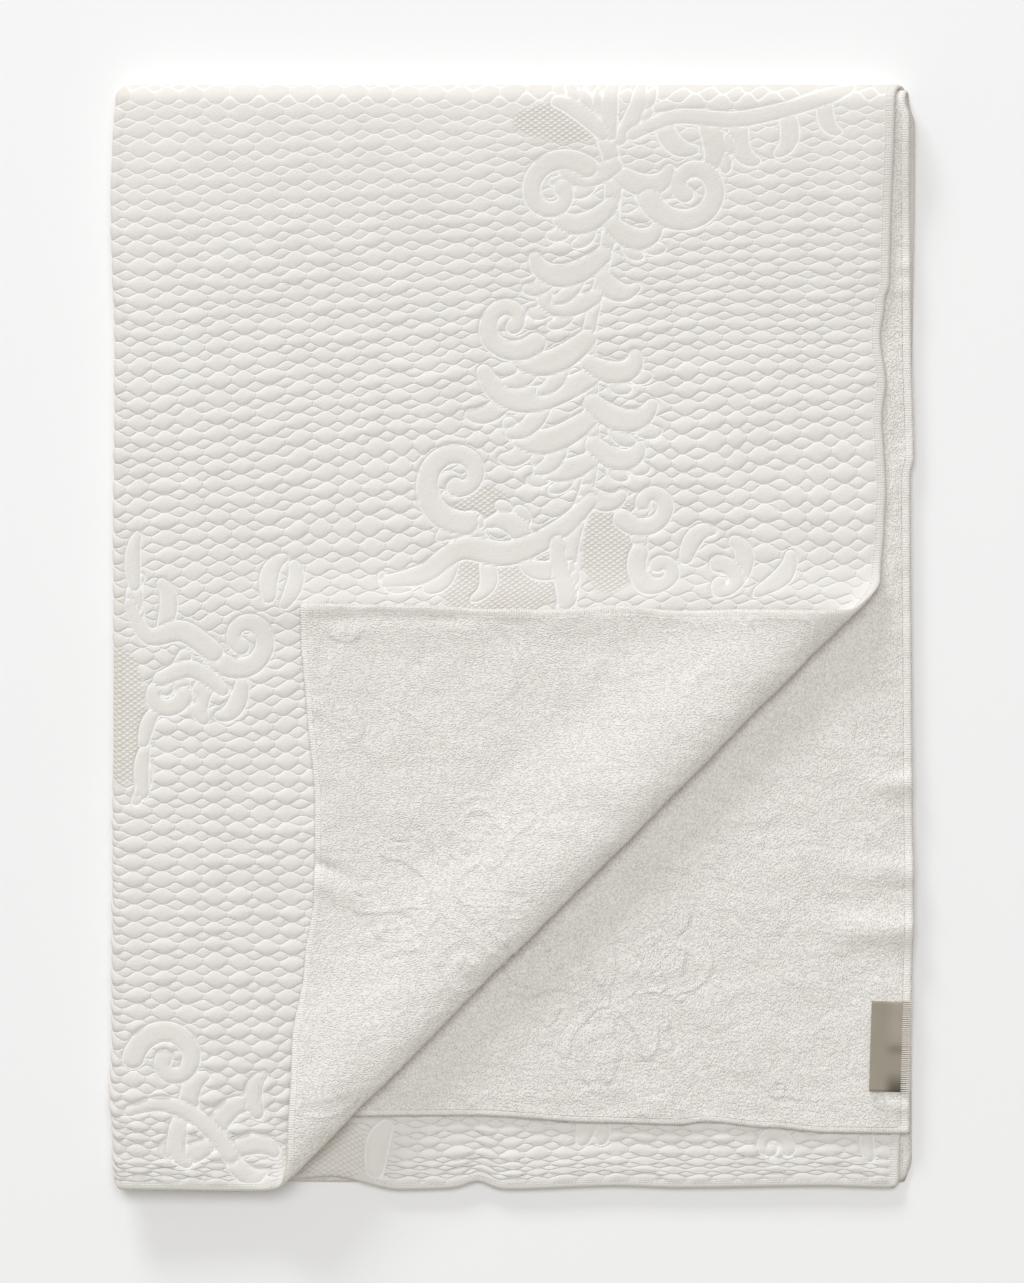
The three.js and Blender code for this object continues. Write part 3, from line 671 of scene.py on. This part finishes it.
def sheet_cells(member, quilted, reverse):
    """Points and cells of a closed piece of the cloth, from the blocks that belong to it. A cell keeps each
    line's point on its sides that a finer neighbour uses, and a narrow wall joins the faces at the edges."""
    lines_each_way = (len(side_lines), len(top_lines))
    border = np.zeros(lines_each_way, bool)
    walls = []
    padded = np.pad(member, 1)
    inner = padded[1:-1, 1:-1]
    open_sides = {"left": inner & ~padded[:-2, 1:-1], "right": inner & ~padded[2:, 1:-1],
                  "low": inner & ~padded[1:-1, :-2], "high": inner & ~padded[1:-1, 2:]}
    eight = np.arange(BLOCK + 1)
    for where, blocks in open_sides.items():
        for a, b in np.argwhere(blocks) * BLOCK:
            i = a + BLOCK * (where == "right") + (eight if where in ("low", "high") else 0 * eight)
            j = b + BLOCK * (where == "high") + (eight if where in ("left", "right") else 0 * eight)
            border[i, j] = True
            walls.append((i, j, where in ("left", "high")))
    uses = []
    for levels in (quilted, reverse):
        used = np.zeros(lines_each_way, bool)
        for level in range(4):
            blocks = np.argwhere(member & (levels == level)) * BLOCK
            step = np.arange(0, BLOCK + 1, 1 << level)
            used[blocks[:, 0, None, None] + step[:, None], blocks[:, 1, None, None] + step] = True
        uses.append(used)
    shared = (uses[0] | uses[1]) & border
    numbers = []
    count = 0
    for used in uses:
        used |= shared
        number = np.full(lines_each_way, -1)
        number[used] = np.arange(count, count + used.sum())
        count += used.sum()
        numbers.append(number)
    corners, sizes, kinds = [], [], []
    for kind, (levels, used, number) in enumerate(zip((quilted, reverse), uses, numbers)):
        for level in range(4):
            size = 1 << level
            blocks = np.argwhere(member & (levels == level)) * BLOCK
            step = np.arange(0, BLOCK, size)
            a = (blocks[:, 0, None, None] + step[:, None] + 0 * step).reshape(-1, 1)
            b = (blocks[:, 1, None, None] + 0 * step[:, None] + step).reshape(-1, 1)
            walk = np.arange(size)
            i = a + np.concatenate([walk, np.full(size, size), size - walk, np.zeros(size, int)])
            j = b + np.concatenate([np.zeros(size, int), walk, np.full(size, size), size - walk])
            if kind == 0:
                i, j = i[:, ::-1], j[:, ::-1]
            keep = used[i, j]
            corners.append(number[i, j][keep])
            sizes.append(keep.sum(1))
            kinds.append(np.full(len(i), kind))
    for i, j, forward in walls:
        keep = uses[0][i, j]
        top_row = numbers[0][i[keep], j[keep]]
        low_row = numbers[1][i[keep], j[keep]]
        quads = np.stack([top_row[:-1], low_row[:-1], low_row[1:], top_row[1:]], axis=1)
        if not forward:
            quads = quads[:, ::-1]
        corners.append(quads.ravel())
        sizes.append(np.full(len(quads), 4))
        kinds.append(np.full(len(quads), 2))
    points = [np.argwhere(used) for used in uses]
    return points, np.concatenate(corners), np.concatenate(sizes), np.concatenate(kinds)


def face_lifts(side, top, reverse, ornament, net):
    """Height of a face off the cloth's middle. The quilted face carries the puffs and the ornament, the
    reverse only a faint print of them, and both swell a little along the hem and round off at its edge."""
    cells, rows = cell_place(np.abs(side), np.abs(top))
    hem_gap, _ = hem_distance(side, top)
    inside = smooth_step(HEM_WIDE + 0.5, HEM_WIDE + 4, hem_gap)
    clear = inside * eased(RELIEF_DOWN, np.abs(top))
    band = BAND_RISE * (1 - (1 - np.clip(ornament / 3, 0, 1)) ** 2)
    beside = smooth_step(0, 1.8, -ornament)
    puffs = cell_relief(cells, rows) * (1 - NET_FLATTENS * net)
    relief = np.where(ornament > 0, band, puffs * beside + NET_RISE * net * beside)
    hem = HEM_BEAD * np.sqrt(np.clip(1 - ((hem_gap - HEM_WIDE / 2) / (HEM_WIDE / 2 + 0.6)) ** 2, 0, 1))
    soft_hem = 1 - smooth_step(1, HEM_WIDE, hem_gap)
    half = CLOTH_THICK / 2 * (0.35 + 0.65 * smooth_step(-0.4, 3, hem_gap))
    on_ground = (side > 0) & (top < 0)
    quilted_lift = half + np.where(on_ground, 0, clear * (relief - 0.55) + hem - 0.1)
    print_through = np.where(ornament > 0, BAND_PRINT * band, PUFF_PRINT * relief)
    lumps = noises(LUMPS, side + NOISE_START, top + NOISE_START)
    reverse_lift = -half + inside * (print_through - 0.5 + lumps) - 0.2 * soft_hem
    return np.where(reverse, reverse_lift, quilted_lift)


def make_cloth(name, member):
    """A closed mesh of the blocks that belong to it, placed in the packet, with its weave's places on it."""
    quilted, reverse = block_levels()
    points, corners, sizes, kinds = sheet_cells(member, quilted, reverse)
    index = np.concatenate(points)
    on_reverse = np.arange(len(index)) >= len(points[0])
    side = side_lines[index[:, 0]]
    top = top_lines[index[:, 1]]
    ornament = ornament_depth(np.abs(side), np.abs(top))
    net = net_share(np.abs(side), np.abs(top))
    x, y, z = place_cloth(side, top, face_lifts(side, top, on_reverse, ornament, net))
    places = np.stack([x - OUTLINE_MIDDLE[0], y - OUTLINE_MIDDLE[1], z], axis=1) * MM

    mesh = bpy.data.meshes.new(name)
    mesh.vertices.add(len(places))
    mesh.vertices.foreach_set("co", places.ravel())
    mesh.loops.add(len(corners))
    mesh.loops.foreach_set("vertex_index", corners)
    mesh.polygons.add(len(sizes))
    mesh.polygons.foreach_set("loop_start", np.concatenate([[0], np.cumsum(sizes)[:-1]]))
    mesh.polygons.foreach_set("material_index", np.where(kinds == 1, 1, 0))
    mesh.polygons.foreach_set("use_smooth", np.ones(len(sizes), bool))
    mesh.update(calc_edges=True)

    cells, rows = cell_place(np.abs(side), np.abs(top))
    hem_gap, hem_run = hem_distance(side, top)
    flat_map = mesh.uv_layers.new(name="cloth")
    flat_map.data.foreach_set("uv", (np.stack([side, top], axis=1)[corners] / 1000).ravel())
    marks = {"cells": cells, "rows": rows, "flat_side": side, "flat_top": top, "hem_gap": hem_gap,
             "hem_run": hem_run, "ornament": ornament, "net": net}
    for mark, values in marks.items():
        layer = mesh.attributes.new(mark, "FLOAT", "POINT")
        layer.data.foreach_set("value", values.astype(np.float32))
    piece = bpy.data.objects.new(name, mesh)
    bpy.context.scene.collection.objects.link(piece)
    return piece


in_upper = (block_side > -SIDE_ARC) & (block_top > -TOP_ARC)
upper_layer = make_cloth("upper_layer", in_upper)
lower_layers = make_cloth("lower_layers", ~in_upper)

# Cotton, face and reverse.
# Both are the same undyed cream yarn. The face is a close smooth weave drawn into puffs, and the reverse a
# loose one with small crimped loops. The hems are turned in plain and stitched along their inner edge.

CREAM = (0.815, 0.788, 0.748, 1)
CREAM_TERRY = (0.91, 0.882, 0.84, 1)
# Darker cream: a random mottle, and painted shade in the net's hollows, at the hem edges, along the folds,
# between the terry loops and in its creases.
CREAM_SHADE_AND_MOTTLE = (0.70, 0.655, 0.59, 1)
# Paler cream: a painted highlight along the seams, where light catches the puffs' edges.
CREAM_SEAM_HIGHLIGHT = (0.95, 0.94, 0.92, 1)


def attribute_node(nodes, name):
    """A node that reads a value which the cloth carries at each point."""
    node = nodes.new("ShaderNodeAttribute")
    node.attribute_name = name
    return node.outputs["Fac"]


def maths(tree, operation, *values):
    """A Math node with its inputs linked or set."""
    node = tree.nodes.new("ShaderNodeMath")
    node.operation = operation
    for socket, value in zip(node.inputs, values):
        if isinstance(value, (int, float)):
            socket.default_value = value
        else:
            tree.links.new(value, socket)
    return node.outputs[0]


def added(tree, first, *others):
    """The sum of its inputs."""
    for other in others:
        first = maths(tree, "ADD", first, other)
    return first


def times(tree, first, *others):
    """The product of its inputs."""
    for other in others:
        first = maths(tree, "MULTIPLY", first, other)
    return first


def distance(tree, value, place):
    """How far a value is from a place, either way."""
    return maths(tree, "ABSOLUTE", maths(tree, "SUBTRACT", value, place))


def ramp(tree, value, low, high, from_value=0.0, to_value=1.0):
    """A value carried from one range to another along a smooth step."""
    node = tree.nodes.new("ShaderNodeMapRange")
    node.interpolation_type = "SMOOTHSTEP"
    tree.links.new(value, node.inputs["Value"])
    settings = {"From Min": low, "From Max": high, "To Min": from_value, "To Max": to_value}
    for socket, setting in settings.items():
        node.inputs[socket].default_value = setting
    return node.outputs["Result"]


def new_group(name, inputs, outputs):
    """An empty shader node group with its named sockets, all plain values."""
    group = bpy.data.node_groups.new(name, "ShaderNodeTree")
    for label in inputs:
        group.interface.new_socket(label, in_out="INPUT", socket_type="NodeSocketFloat")
    for label in outputs:
        group.interface.new_socket(label, in_out="OUTPUT", socket_type="NodeSocketFloat")
    return group, group.nodes.new("NodeGroupInput").outputs, group.nodes.new("NodeGroupOutput").inputs


def make_hem_group():
    """Hem: its share of the surface, and the height of its stitches and ribs. The stitches are dashes in two
    rows at set distances from the hem's edge, and the ribs are a sine along it."""
    group, given, put = new_group("hem stitching", ["Stitch Pitch", "Stitch Depth", "Rib Depth"],
                                  ["Hem", "Height"])
    gap = attribute_node(group.nodes, "hem_gap")
    run = attribute_node(group.nodes, "hem_run")
    hem = ramp(group, gap, HEM_WIDE - 0.4, HEM_WIDE + 0.6, 1, 0)
    to_a_turn = maths(group, "DIVIDE", given["Stitch Pitch"], 6.2832)
    dashes = ramp(group, maths(group, "SINE", maths(group, "DIVIDE", run, to_a_turn)), -0.75, 0.1)
    outer_row, inner_row = (
        ramp(group, distance(group, gap, HEM_WIDE - inset), 0.15, 0.85, 1, 0) for inset in (0.3, 2.6)
    )
    both = maths(group, "MAXIMUM", outer_row, times(group, inner_row, 0.6))
    cut = times(group, both, dashes, given["Stitch Depth"])
    ribs = times(group, maths(group, "SINE", times(group, run, 3.2)), given["Rib Depth"], hem)
    group.links.new(hem, put["Hem"])
    group.links.new(maths(group, "SUBTRACT", ribs, cut), put["Height"])
    return group


hem_group = make_hem_group()


def make_quilting_group():
    """Creases between puffs, round the ornament and in the net, as a height and as shares, and the net's
    hollows as a share for painted shade. A crease is an exponential of the distance to the puff's edge,
    worked out by the same formula as the puffs."""
    group, given, put = new_group("quilting creases", ["Crease Depth", "Crease Width", "Net Depth"],
                                  ["Height", "Crease", "Mesh"])
    marks = ("cells", "rows", "ornament", "net", "hem_gap", "flat_side", "flat_top")
    cells, rows, ornament, net, hem_gap, side, top = (attribute_node(group.nodes, mark) for mark in marks)

    def crease(gap, spread):
        """1 on the line, less by an exponential of the gap over the crease's width times the spread."""
        fade = times(group, given["Crease Width"], -spread)
        return maths(group, "EXPONENT", maths(group, "DIVIDE", gap, fade))

    across = distance(group, cells, maths(group, "ROUND", cells))
    down = distance(group, rows, maths(group, "ROUND", rows))
    wave = maths(group, "COSINE", times(group, across, 6.28319))
    half_wave = times(group, maths(group, "SUBTRACT", 1.0, wave), 0.5)
    parting = maths(group, "POWER", half_wave, CELL_WAIST_POWER)
    edge = maths(group, "SUBTRACT", 0.5, times(group, parting, CELL_WAIST))
    to_edge = times(group, distance(group, down, edge), CELL_DEEP)
    to_end = times(group, maths(group, "SUBTRACT", 0.5, across), CELL_WIDE)
    end_crease = times(group, crease(to_end, 0.8), maths(group, "LESS_THAN", down, edge), 0.65)
    outside = ramp(group, ornament, -1.6, -0.2, 1, 0)
    cell_crease = times(group, maths(group, "MAXIMUM", crease(to_edge, 1.0), end_crease), outside,
                        maths(group, "SUBTRACT", 1.0, net))
    band_crease = crease(maths(group, "ABSOLUTE", ornament), 1.3)
    clear = ramp(group, hem_gap, HEM_WIDE, HEM_WIDE + 2.5)
    creases = times(group, maths(group, "MAXIMUM", cell_crease, band_crease), clear)

    slanted = []
    for slope in (0.66, -0.66):
        lean = added(group, times(group, side, slope), top)
        slanted.append(maths(group, "ABSOLUTE", maths(group, "SINE", times(group, lean, 0.75))))
    net_puffs = times(group, *slanted)
    net_area = times(group, net, outside)
    net_part = times(group, net_puffs, given["Net Depth"], net_area)
    # Painted shade: this share darkens the net's hollows in the face's colour.
    hollow_shade = times(group, ramp(group, net_puffs, 0.1, 0.6, 1, 0), net_area)

    fullness = ramp(group, maths(group, "ABSOLUTE", top), 0, 260, 0.5, 1.0)
    lowered = times(group, creases, fullness, times(group, given["Crease Depth"], -1.0))
    group.links.new(added(group, lowered, net_part), put["Height"])
    group.links.new(creases, put["Crease"])
    group.links.new(hollow_shade, put["Mesh"])
    return group


quilting_group = make_quilting_group()


def cotton_material(name):
    """A dull, faintly fuzzy fabric material, with its node tree and shader."""
    material = bpy.data.materials.new(name)
    material.use_nodes = True
    tree = material.node_tree
    shader = tree.nodes["Principled BSDF"]
    shader.inputs["Roughness"].default_value = 0.92
    shader.inputs["Specular IOR Level"].default_value = 0.18
    shader.inputs["Sheen Weight"].default_value = 0.12
    shader.inputs["Sheen Roughness"].default_value = 0.6
    return material, tree, shader


def noise_node(tree, vector, scale, detail, roughness, distortion):
    """A noise texture over a vector, as a value from 0 to 1."""
    node = tree.nodes.new("ShaderNodeTexNoise")
    node.inputs["Scale"].default_value = scale
    node.inputs["Detail"].default_value = detail
    node.inputs["Roughness"].default_value = roughness
    node.inputs["Distortion"].default_value = distortion
    tree.links.new(vector, node.inputs["Vector"])
    return node.outputs["Fac"]


def flat_vector(tree, stretch_side, stretch_top):
    """The cloth's own flat position, in metres, stretched along either way."""
    uv = tree.nodes.new("ShaderNodeUVMap")
    uv.uv_map = "cloth"
    mapping = tree.nodes.new("ShaderNodeMapping")
    mapping.inputs["Scale"].default_value = (stretch_side, stretch_top, 1)
    tree.links.new(uv.outputs["UV"], mapping.inputs["Vector"])
    return mapping.outputs["Vector"]


def colour_mix(tree, share, first, second):
    """A colour between two by a share."""
    node = tree.nodes.new("ShaderNodeMix")
    node.data_type = "RGBA"
    tree.links.new(share, node.inputs["Factor"])
    for socket, colour in zip((node.inputs[6], node.inputs[7]), (first, second)):
        if isinstance(colour, tuple):
            socket.default_value = colour
        else:
            tree.links.new(colour, socket)
    return node.outputs[2]


def bump(tree, shader, height):
    """A Bump node that takes heights in millimetres."""
    node = tree.nodes.new("ShaderNodeBump")
    node.inputs["Strength"].default_value = 1.0
    node.inputs["Distance"].default_value = 0.001
    tree.links.new(height, node.inputs["Height"])
    tree.links.new(node.outputs["Normal"], shader.inputs["Normal"])


def place_group(tree, group, **values):
    """A node group with its inputs set, underscores standing for spaces."""
    node = tree.nodes.new("ShaderNodeGroup")
    node.node_tree = group
    for label, value in values.items():
        node.inputs[label.replace("_", " ")].default_value = value
    return node


def make_face_cotton():
    """The quilted face: creases, fine threads and hem stitches as height, a random mottle, a painted
    highlight along the seams, and painted shade in the net's hollows, at the hem edges and along the two
    folds."""
    material, tree, shader = cotton_material("cotton_face")
    quilting = place_group(tree, quilting_group, Crease_Depth=0.76, Crease_Width=0.85, Net_Depth=0.46)
    hem = place_group(tree, hem_group, Stitch_Pitch=3.4, Stitch_Depth=0.3, Rib_Depth=0.1)
    threads = noise_node(tree, flat_vector(tree, 1.0, 1.6), 620, 3, 0.55, 0.4)
    mottle = noise_node(tree, flat_vector(tree, 1, 1), 26, 3, 0.5, 0.2)
    scrunch = noise_node(tree, flat_vector(tree, 1.0, 0.7), 210, 2, 0.6, 0.6)
    fine = added(tree, times(tree, threads, 0.26), times(tree, scrunch, 0.34))
    bump(tree, shader, added(tree, quilting.outputs["Height"], hem.outputs["Height"], fine))
    # Colour: a random mottle, then painted shade in the net's hollows, at the hem edges and along the two
    # folds.
    shades = [ramp(tree, mottle, 0.35, 0.75, 0.0, 0.2), times(tree, quilting.outputs["Mesh"], 0.75),
              ramp(tree, attribute_node(tree.nodes, "hem_gap"), 0.0, 2.2, 0.45, 0.0)]
    for mark, fold_wide in (("flat_side", 12), ("flat_top", 18)):
        from_fold = maths(tree, "ABSOLUTE", attribute_node(tree.nodes, mark))
        shades.append(ramp(tree, from_fold, 2, fold_wide, 0.5, 0.0))
    cream = colour_mix(tree, added(tree, *shades), CREAM, CREAM_SHADE_AND_MOTTLE)
    # Painted highlight: the seams are paler, where light catches the puffs' edges.
    seam_highlight = ramp(tree, quilting.outputs["Crease"], 0.25, 0.85, 0.0, 1.0)
    tree.links.new(colour_mix(tree, seam_highlight, cream, CREAM_SEAM_HIGHLIGHT), shader.inputs["Base Color"])
    return material


def make_reverse_cotton():
    """The reverse: crimped loops, faint rows and slow swells as height, with a faint print of the ornament
    and hem stitches, and painted shade between the loops, in the creases and at the hem edges."""
    material, tree, shader = cotton_material("cotton_reverse")
    quilting = place_group(tree, quilting_group, Crease_Depth=0.22, Crease_Width=1.6, Net_Depth=0.2)
    hem = place_group(tree, hem_group, Stitch_Pitch=1.9, Stitch_Depth=0.07, Rib_Depth=0.12)
    crimp = noise_node(tree, flat_vector(tree, 1.4, 1.0), 540, 2, 0.6, 0.2)
    wander = tree.nodes.new("ShaderNodeTexNoise")
    wander.inputs["Scale"].default_value = 160
    tree.links.new(flat_vector(tree, 1, 1), wander.inputs["Vector"])
    offset = tree.nodes.new("ShaderNodeVectorMath")
    offset.operation = "MULTIPLY_ADD"
    offset.inputs[1].default_value = (0.0035, 0.0035, 0)
    tree.links.new(wander.outputs["Color"], offset.inputs[0])
    tree.links.new(flat_vector(tree, 1.6, 1.0), offset.inputs[2])
    loops = tree.nodes.new("ShaderNodeTexVoronoi")
    loops.inputs["Scale"].default_value = 520
    tree.links.new(offset.outputs["Vector"], loops.inputs["Vector"])
    clumps = noise_node(tree, flat_vector(tree, 1.5, 1.0), 110, 2, 0.5, 0.2)
    rows = noise_node(tree, flat_vector(tree, 1.0, 0.12), 340, 2, 0.5, 0.3)
    swells = noise_node(tree, flat_vector(tree, 1, 1), 30, 2, 0.5, 0.3)
    inside = maths(tree, "SUBTRACT", 1.0, hem.outputs["Hem"])
    rounded = ramp(tree, loops.outputs["Distance"], 0.0, 0.7, 1.0, 0.0)
    pile = added(tree, times(tree, rounded, 0.55), times(tree, crimp, 0.8), times(tree, clumps, 0.25),
                 times(tree, rows, 0.4))
    pile = times(tree, pile, added(tree, times(tree, inside, 0.55), 0.45))
    band = ramp(tree, attribute_node(tree.nodes, "ornament"), -2.5, 2.5, 0.0, 1.5)
    bump(tree, shader, added(tree, quilting.outputs["Height"], hem.outputs["Height"], pile, band,
                             times(tree, swells, 4.8)))
    # Painted shade between the loops, in the creases and at the hem edges.
    shade = added(tree, ramp(tree, crimp, 0.3, 0.62, 0.48, 0.0),
                  times(tree, quilting.outputs["Crease"], 0.08),
                  ramp(tree, attribute_node(tree.nodes, "hem_gap"), 0.0, 2.6, 0.5, 0.0))
    tree.links.new(colour_mix(tree, shade, CREAM_TERRY, CREAM_SHADE_AND_MOTTLE), shader.inputs["Base Color"])
    return material


face_cotton = make_face_cotton()
reverse_cotton = make_reverse_cotton()
for cloth in (upper_layer, lower_layers):
    cloth.data.materials.append(face_cotton)
    cloth.data.materials.append(reverse_cotton)
    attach(cloth, "root")
    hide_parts("coverlet")

# The label.
# A small taupe satin ribbon, folded over once and caught in the second layer's right hem with whip
# stitches. It is blank.

LABEL_WIDE = 25
LABEL_LONG = 71.5
LABEL_THICK = 0.8
LABEL_TAB = 4.5
LABEL_PLACE = (294, -324.5)
LABEL_TILT = -1.7
LABEL_CLEAR = 0.25
LABEL_FOLD_RADIUS = 0.5
LABEL_CURL = 1.1
LABEL_BILLOW = 0.35
TERRY_RISE = 0.35
TAUPE = (0.378, 0.332, 0.262, 1)
# A painted sheen and a painted shade on the satin.
TAUPE_SHEEN = (0.45, 0.405, 0.335, 1)
TAUPE_SHADE = (0.10, 0.082, 0.055, 1)


def second_layer_top(x, y):
    """Height of the second layer's reverse, which faces up beside the turned corner."""
    middle = CLOTH_THICK / 2 + 2 * FOLD_PITCH * settling(x, y) + 2 / 3 * loft(x, y)
    return middle + hem_ridges(x, y) - hem_droop(x, y, 2 + 0 * x) + CLOTH_THICK / 2


def grid_mesh(name, grid, close_across=False, close_ends=False):
    """An object from a grid of points in millimetres, rows by columns. Columns may join round, and the two
    end rows may each be closed by one face."""
    rows, columns = grid.shape[:2]
    number = np.arange(rows * columns).reshape(rows, columns)
    beyond = np.roll(number, -1, axis=1) if close_across else number[:, 1:]
    here = number if close_across else number[:, :-1]
    quads = np.stack([here[:-1], beyond[:-1], beyond[1:], here[1:]], axis=-1).reshape(-1, 4)
    faces = quads.tolist()
    if close_ends:
        faces += [number[0, ::-1].tolist(), number[-1].tolist()]
    mesh = bpy.data.meshes.new(name)
    mesh.from_pydata((grid.reshape(-1, 3) * MM).tolist(), [], faces)
    mesh.polygons.foreach_set("use_smooth", np.ones(len(faces), bool))
    piece = bpy.data.objects.new(name, mesh)
    bpy.context.scene.collection.objects.link(piece)
    return piece


def make_label():
    """A flat loop of ribbon: its section goes along the top, round the fold at the left and back beneath,
    and is carried along the label's length with a slight lift of its lower left corner."""
    fold_x = -LABEL_WIDE / 2 + LABEL_FOLD_RADIUS
    across = np.linspace(LABEL_WIDE / 2 + LABEL_TAB, fold_x, 14)
    bend = np.linspace(0.5, 1.5, 7)[1:-1] * np.pi
    section_x = np.concatenate([across, fold_x + LABEL_FOLD_RADIUS * np.cos(bend), across[::-1]])
    section_z = np.concatenate([np.ones(len(across)), (1 + np.sin(bend)) / 2, np.zeros(len(across))])
    along = np.linspace(-LABEL_LONG / 2, LABEL_LONG / 2, 37)[:, None]
    tilt = np.radians(LABEL_TILT)
    x = LABEL_PLACE[0] + section_x * np.cos(tilt) - along * np.sin(tilt)
    y = LABEL_PLACE[1] + section_x * np.sin(tilt) + along * np.cos(tilt)
    curl = LABEL_CURL * smooth_step(0, 14, -section_x - 2) * smooth_step(0, 26, -along - 12)
    billow = LABEL_BILLOW * np.sin(along / 9.0) * smooth_step(-12, 8, -section_x)
    under = second_layer_top(x, y) + TERRY_RISE
    z = under + LABEL_CLEAR + section_z * LABEL_THICK * (1 + 0.9 * curl) + curl + np.maximum(billow, 0)
    points = np.stack([x - OUTLINE_MIDDLE[0], y - OUTLINE_MIDDLE[1], z], axis=-1)
    label = grid_mesh("label_ribbon", points, close_across=True, close_ends=True)
    ribbon_map = label.data.uv_layers.new(name="ribbon")
    corners = np.zeros(len(label.data.loops), int)
    label.data.loops.foreach_get("vertex_index", corners)
    u = np.broadcast_to(section_x / LABEL_WIDE + 0.5, x.shape).ravel()[corners]
    v = np.broadcast_to(along / LABEL_LONG + 0.5, x.shape).ravel()[corners]
    ribbon_map.data.foreach_set("uv", np.stack([u, v], axis=1).ravel())
    return label


# Each whip stitch starts and ends here across the label, at this height, and rises and falls this far.
STITCH_COUNT = 48
STITCH_SPREAD = 1.03
STITCH_FROM = 12.3
STITCH_TO = 20.2
STITCH_HEIGHT = 1.5
STITCH_RISE = 0.6
STITCH_FALL = 1.1
STITCH_RADIUS = 0.55
STITCH_SEED = 9


def make_label_stitches():
    """Whip stitches along the label's right edge: each is a thread whose middle line rises over the hem as
    half an ellipse, leaning a little, with the next one beside it."""
    random = np.random.default_rng(STITCH_SEED)
    middles = []
    for i in range(STITCH_COUNT):
        along = (i + 0.5) / STITCH_COUNT - 0.5
        middles.append((along * LABEL_LONG * STITCH_SPREAD + random.uniform(-0.15, 0.15),
                        random.uniform(-0.4, 0.4), random.uniform(-0.25, 0.25)))
    share = np.linspace(0, 1, 9)
    turn = np.linspace(0, 2 * np.pi, 7)[:-1]
    rings = []
    for along, reach, lean in middles:
        section_x = STITCH_FROM + (STITCH_TO - STITCH_FROM + reach) * share
        tilt = np.radians(LABEL_TILT)
        x = LABEL_PLACE[0] + section_x * np.cos(tilt) - along * np.sin(tilt)
        y = LABEL_PLACE[1] + section_x * np.sin(tilt) + along * np.cos(tilt) + lean * (share - 0.5)
        arch = np.sin(np.pi * share) ** 0.5
        z = second_layer_top(x, y) + STITCH_HEIGHT + STITCH_RISE * arch - STITCH_FALL * share
        radius = STITCH_RADIUS * (0.5 + 0.5 * arch)
        ring_y = y[:, None] + radius[:, None] * np.cos(turn)
        ring_z = z[:, None] + radius[:, None] * np.sin(turn)
        ring_x = np.repeat(x[:, None], len(turn), 1)
        rings.append(np.stack([ring_x - OUTLINE_MIDDLE[0], ring_y - OUTLINE_MIDDLE[1], ring_z], axis=-1))
    pieces = [grid_mesh("label_stitch", ring, close_across=True, close_ends=True) for ring in rings]
    with bpy.context.temp_override(active_object=pieces[0], selected_editable_objects=pieces):
        bpy.ops.object.join()
    pieces[0].name = "label_stitches"
    return pieces[0]


def make_satin():
    """Taupe satin: fine ribs along the ribbon as height. Its right half has a painted sheen, paler above,
    painted shade in a soft crease across the middle and a painted dark sheen at its lower corner, each a
    smooth step along the ribbon."""
    material = bpy.data.materials.new("label_satin")
    material.use_nodes = True
    tree = material.node_tree
    shader = tree.nodes["Principled BSDF"]
    shader.inputs["Roughness"].default_value = 0.5
    shader.inputs["Sheen Weight"].default_value = 0.2
    uv = tree.nodes.new("ShaderNodeUVMap")
    uv.uv_map = "ribbon"
    parts = tree.nodes.new("ShaderNodeSeparateXYZ")
    tree.links.new(uv.outputs["UV"], parts.inputs["Vector"])
    across, along = parts.outputs["X"], parts.outputs["Y"]
    ribs = maths(tree, "SINE", times(tree, across, 380.0))
    mapping = tree.nodes.new("ShaderNodeMapping")
    mapping.inputs["Scale"].default_value = (9, 60, 1)
    tree.links.new(uv.outputs["UV"], mapping.inputs["Vector"])
    slubs = noise_node(tree, mapping.outputs["Vector"], 3.0, 2, 0.5, 0.2)
    bump(tree, shader, added(tree, times(tree, ribs, 0.05), times(tree, slubs, 0.12)))
    # Painted sheen and shade on the right half: a dark lower corner and a soft dark crease, and paler above.
    low = ramp(tree, along, 0.26, 0.02)
    right = ramp(tree, across, 0.35, 0.8)
    crease = ramp(tree, distance(tree, along, 0.47), 0.0, 0.1, 0.4, 0.0)
    shade_share = times(tree, maths(tree, "MAXIMUM", low, crease), right)
    sheen_share = times(tree, ramp(tree, along, 0.4, 0.75), right)
    satin = colour_mix(tree, sheen_share, TAUPE, TAUPE_SHEEN)
    tree.links.new(colour_mix(tree, shade_share, satin, TAUPE_SHADE), shader.inputs["Base Color"])
    return material


label_ribbon = make_label()
label_ribbon.data.materials.append(make_satin())
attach(label_ribbon, "root")
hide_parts("label")
label_stitches = make_label_stitches()
label_stitches.data.materials.append(reverse_cotton)
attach(label_stitches, "root")
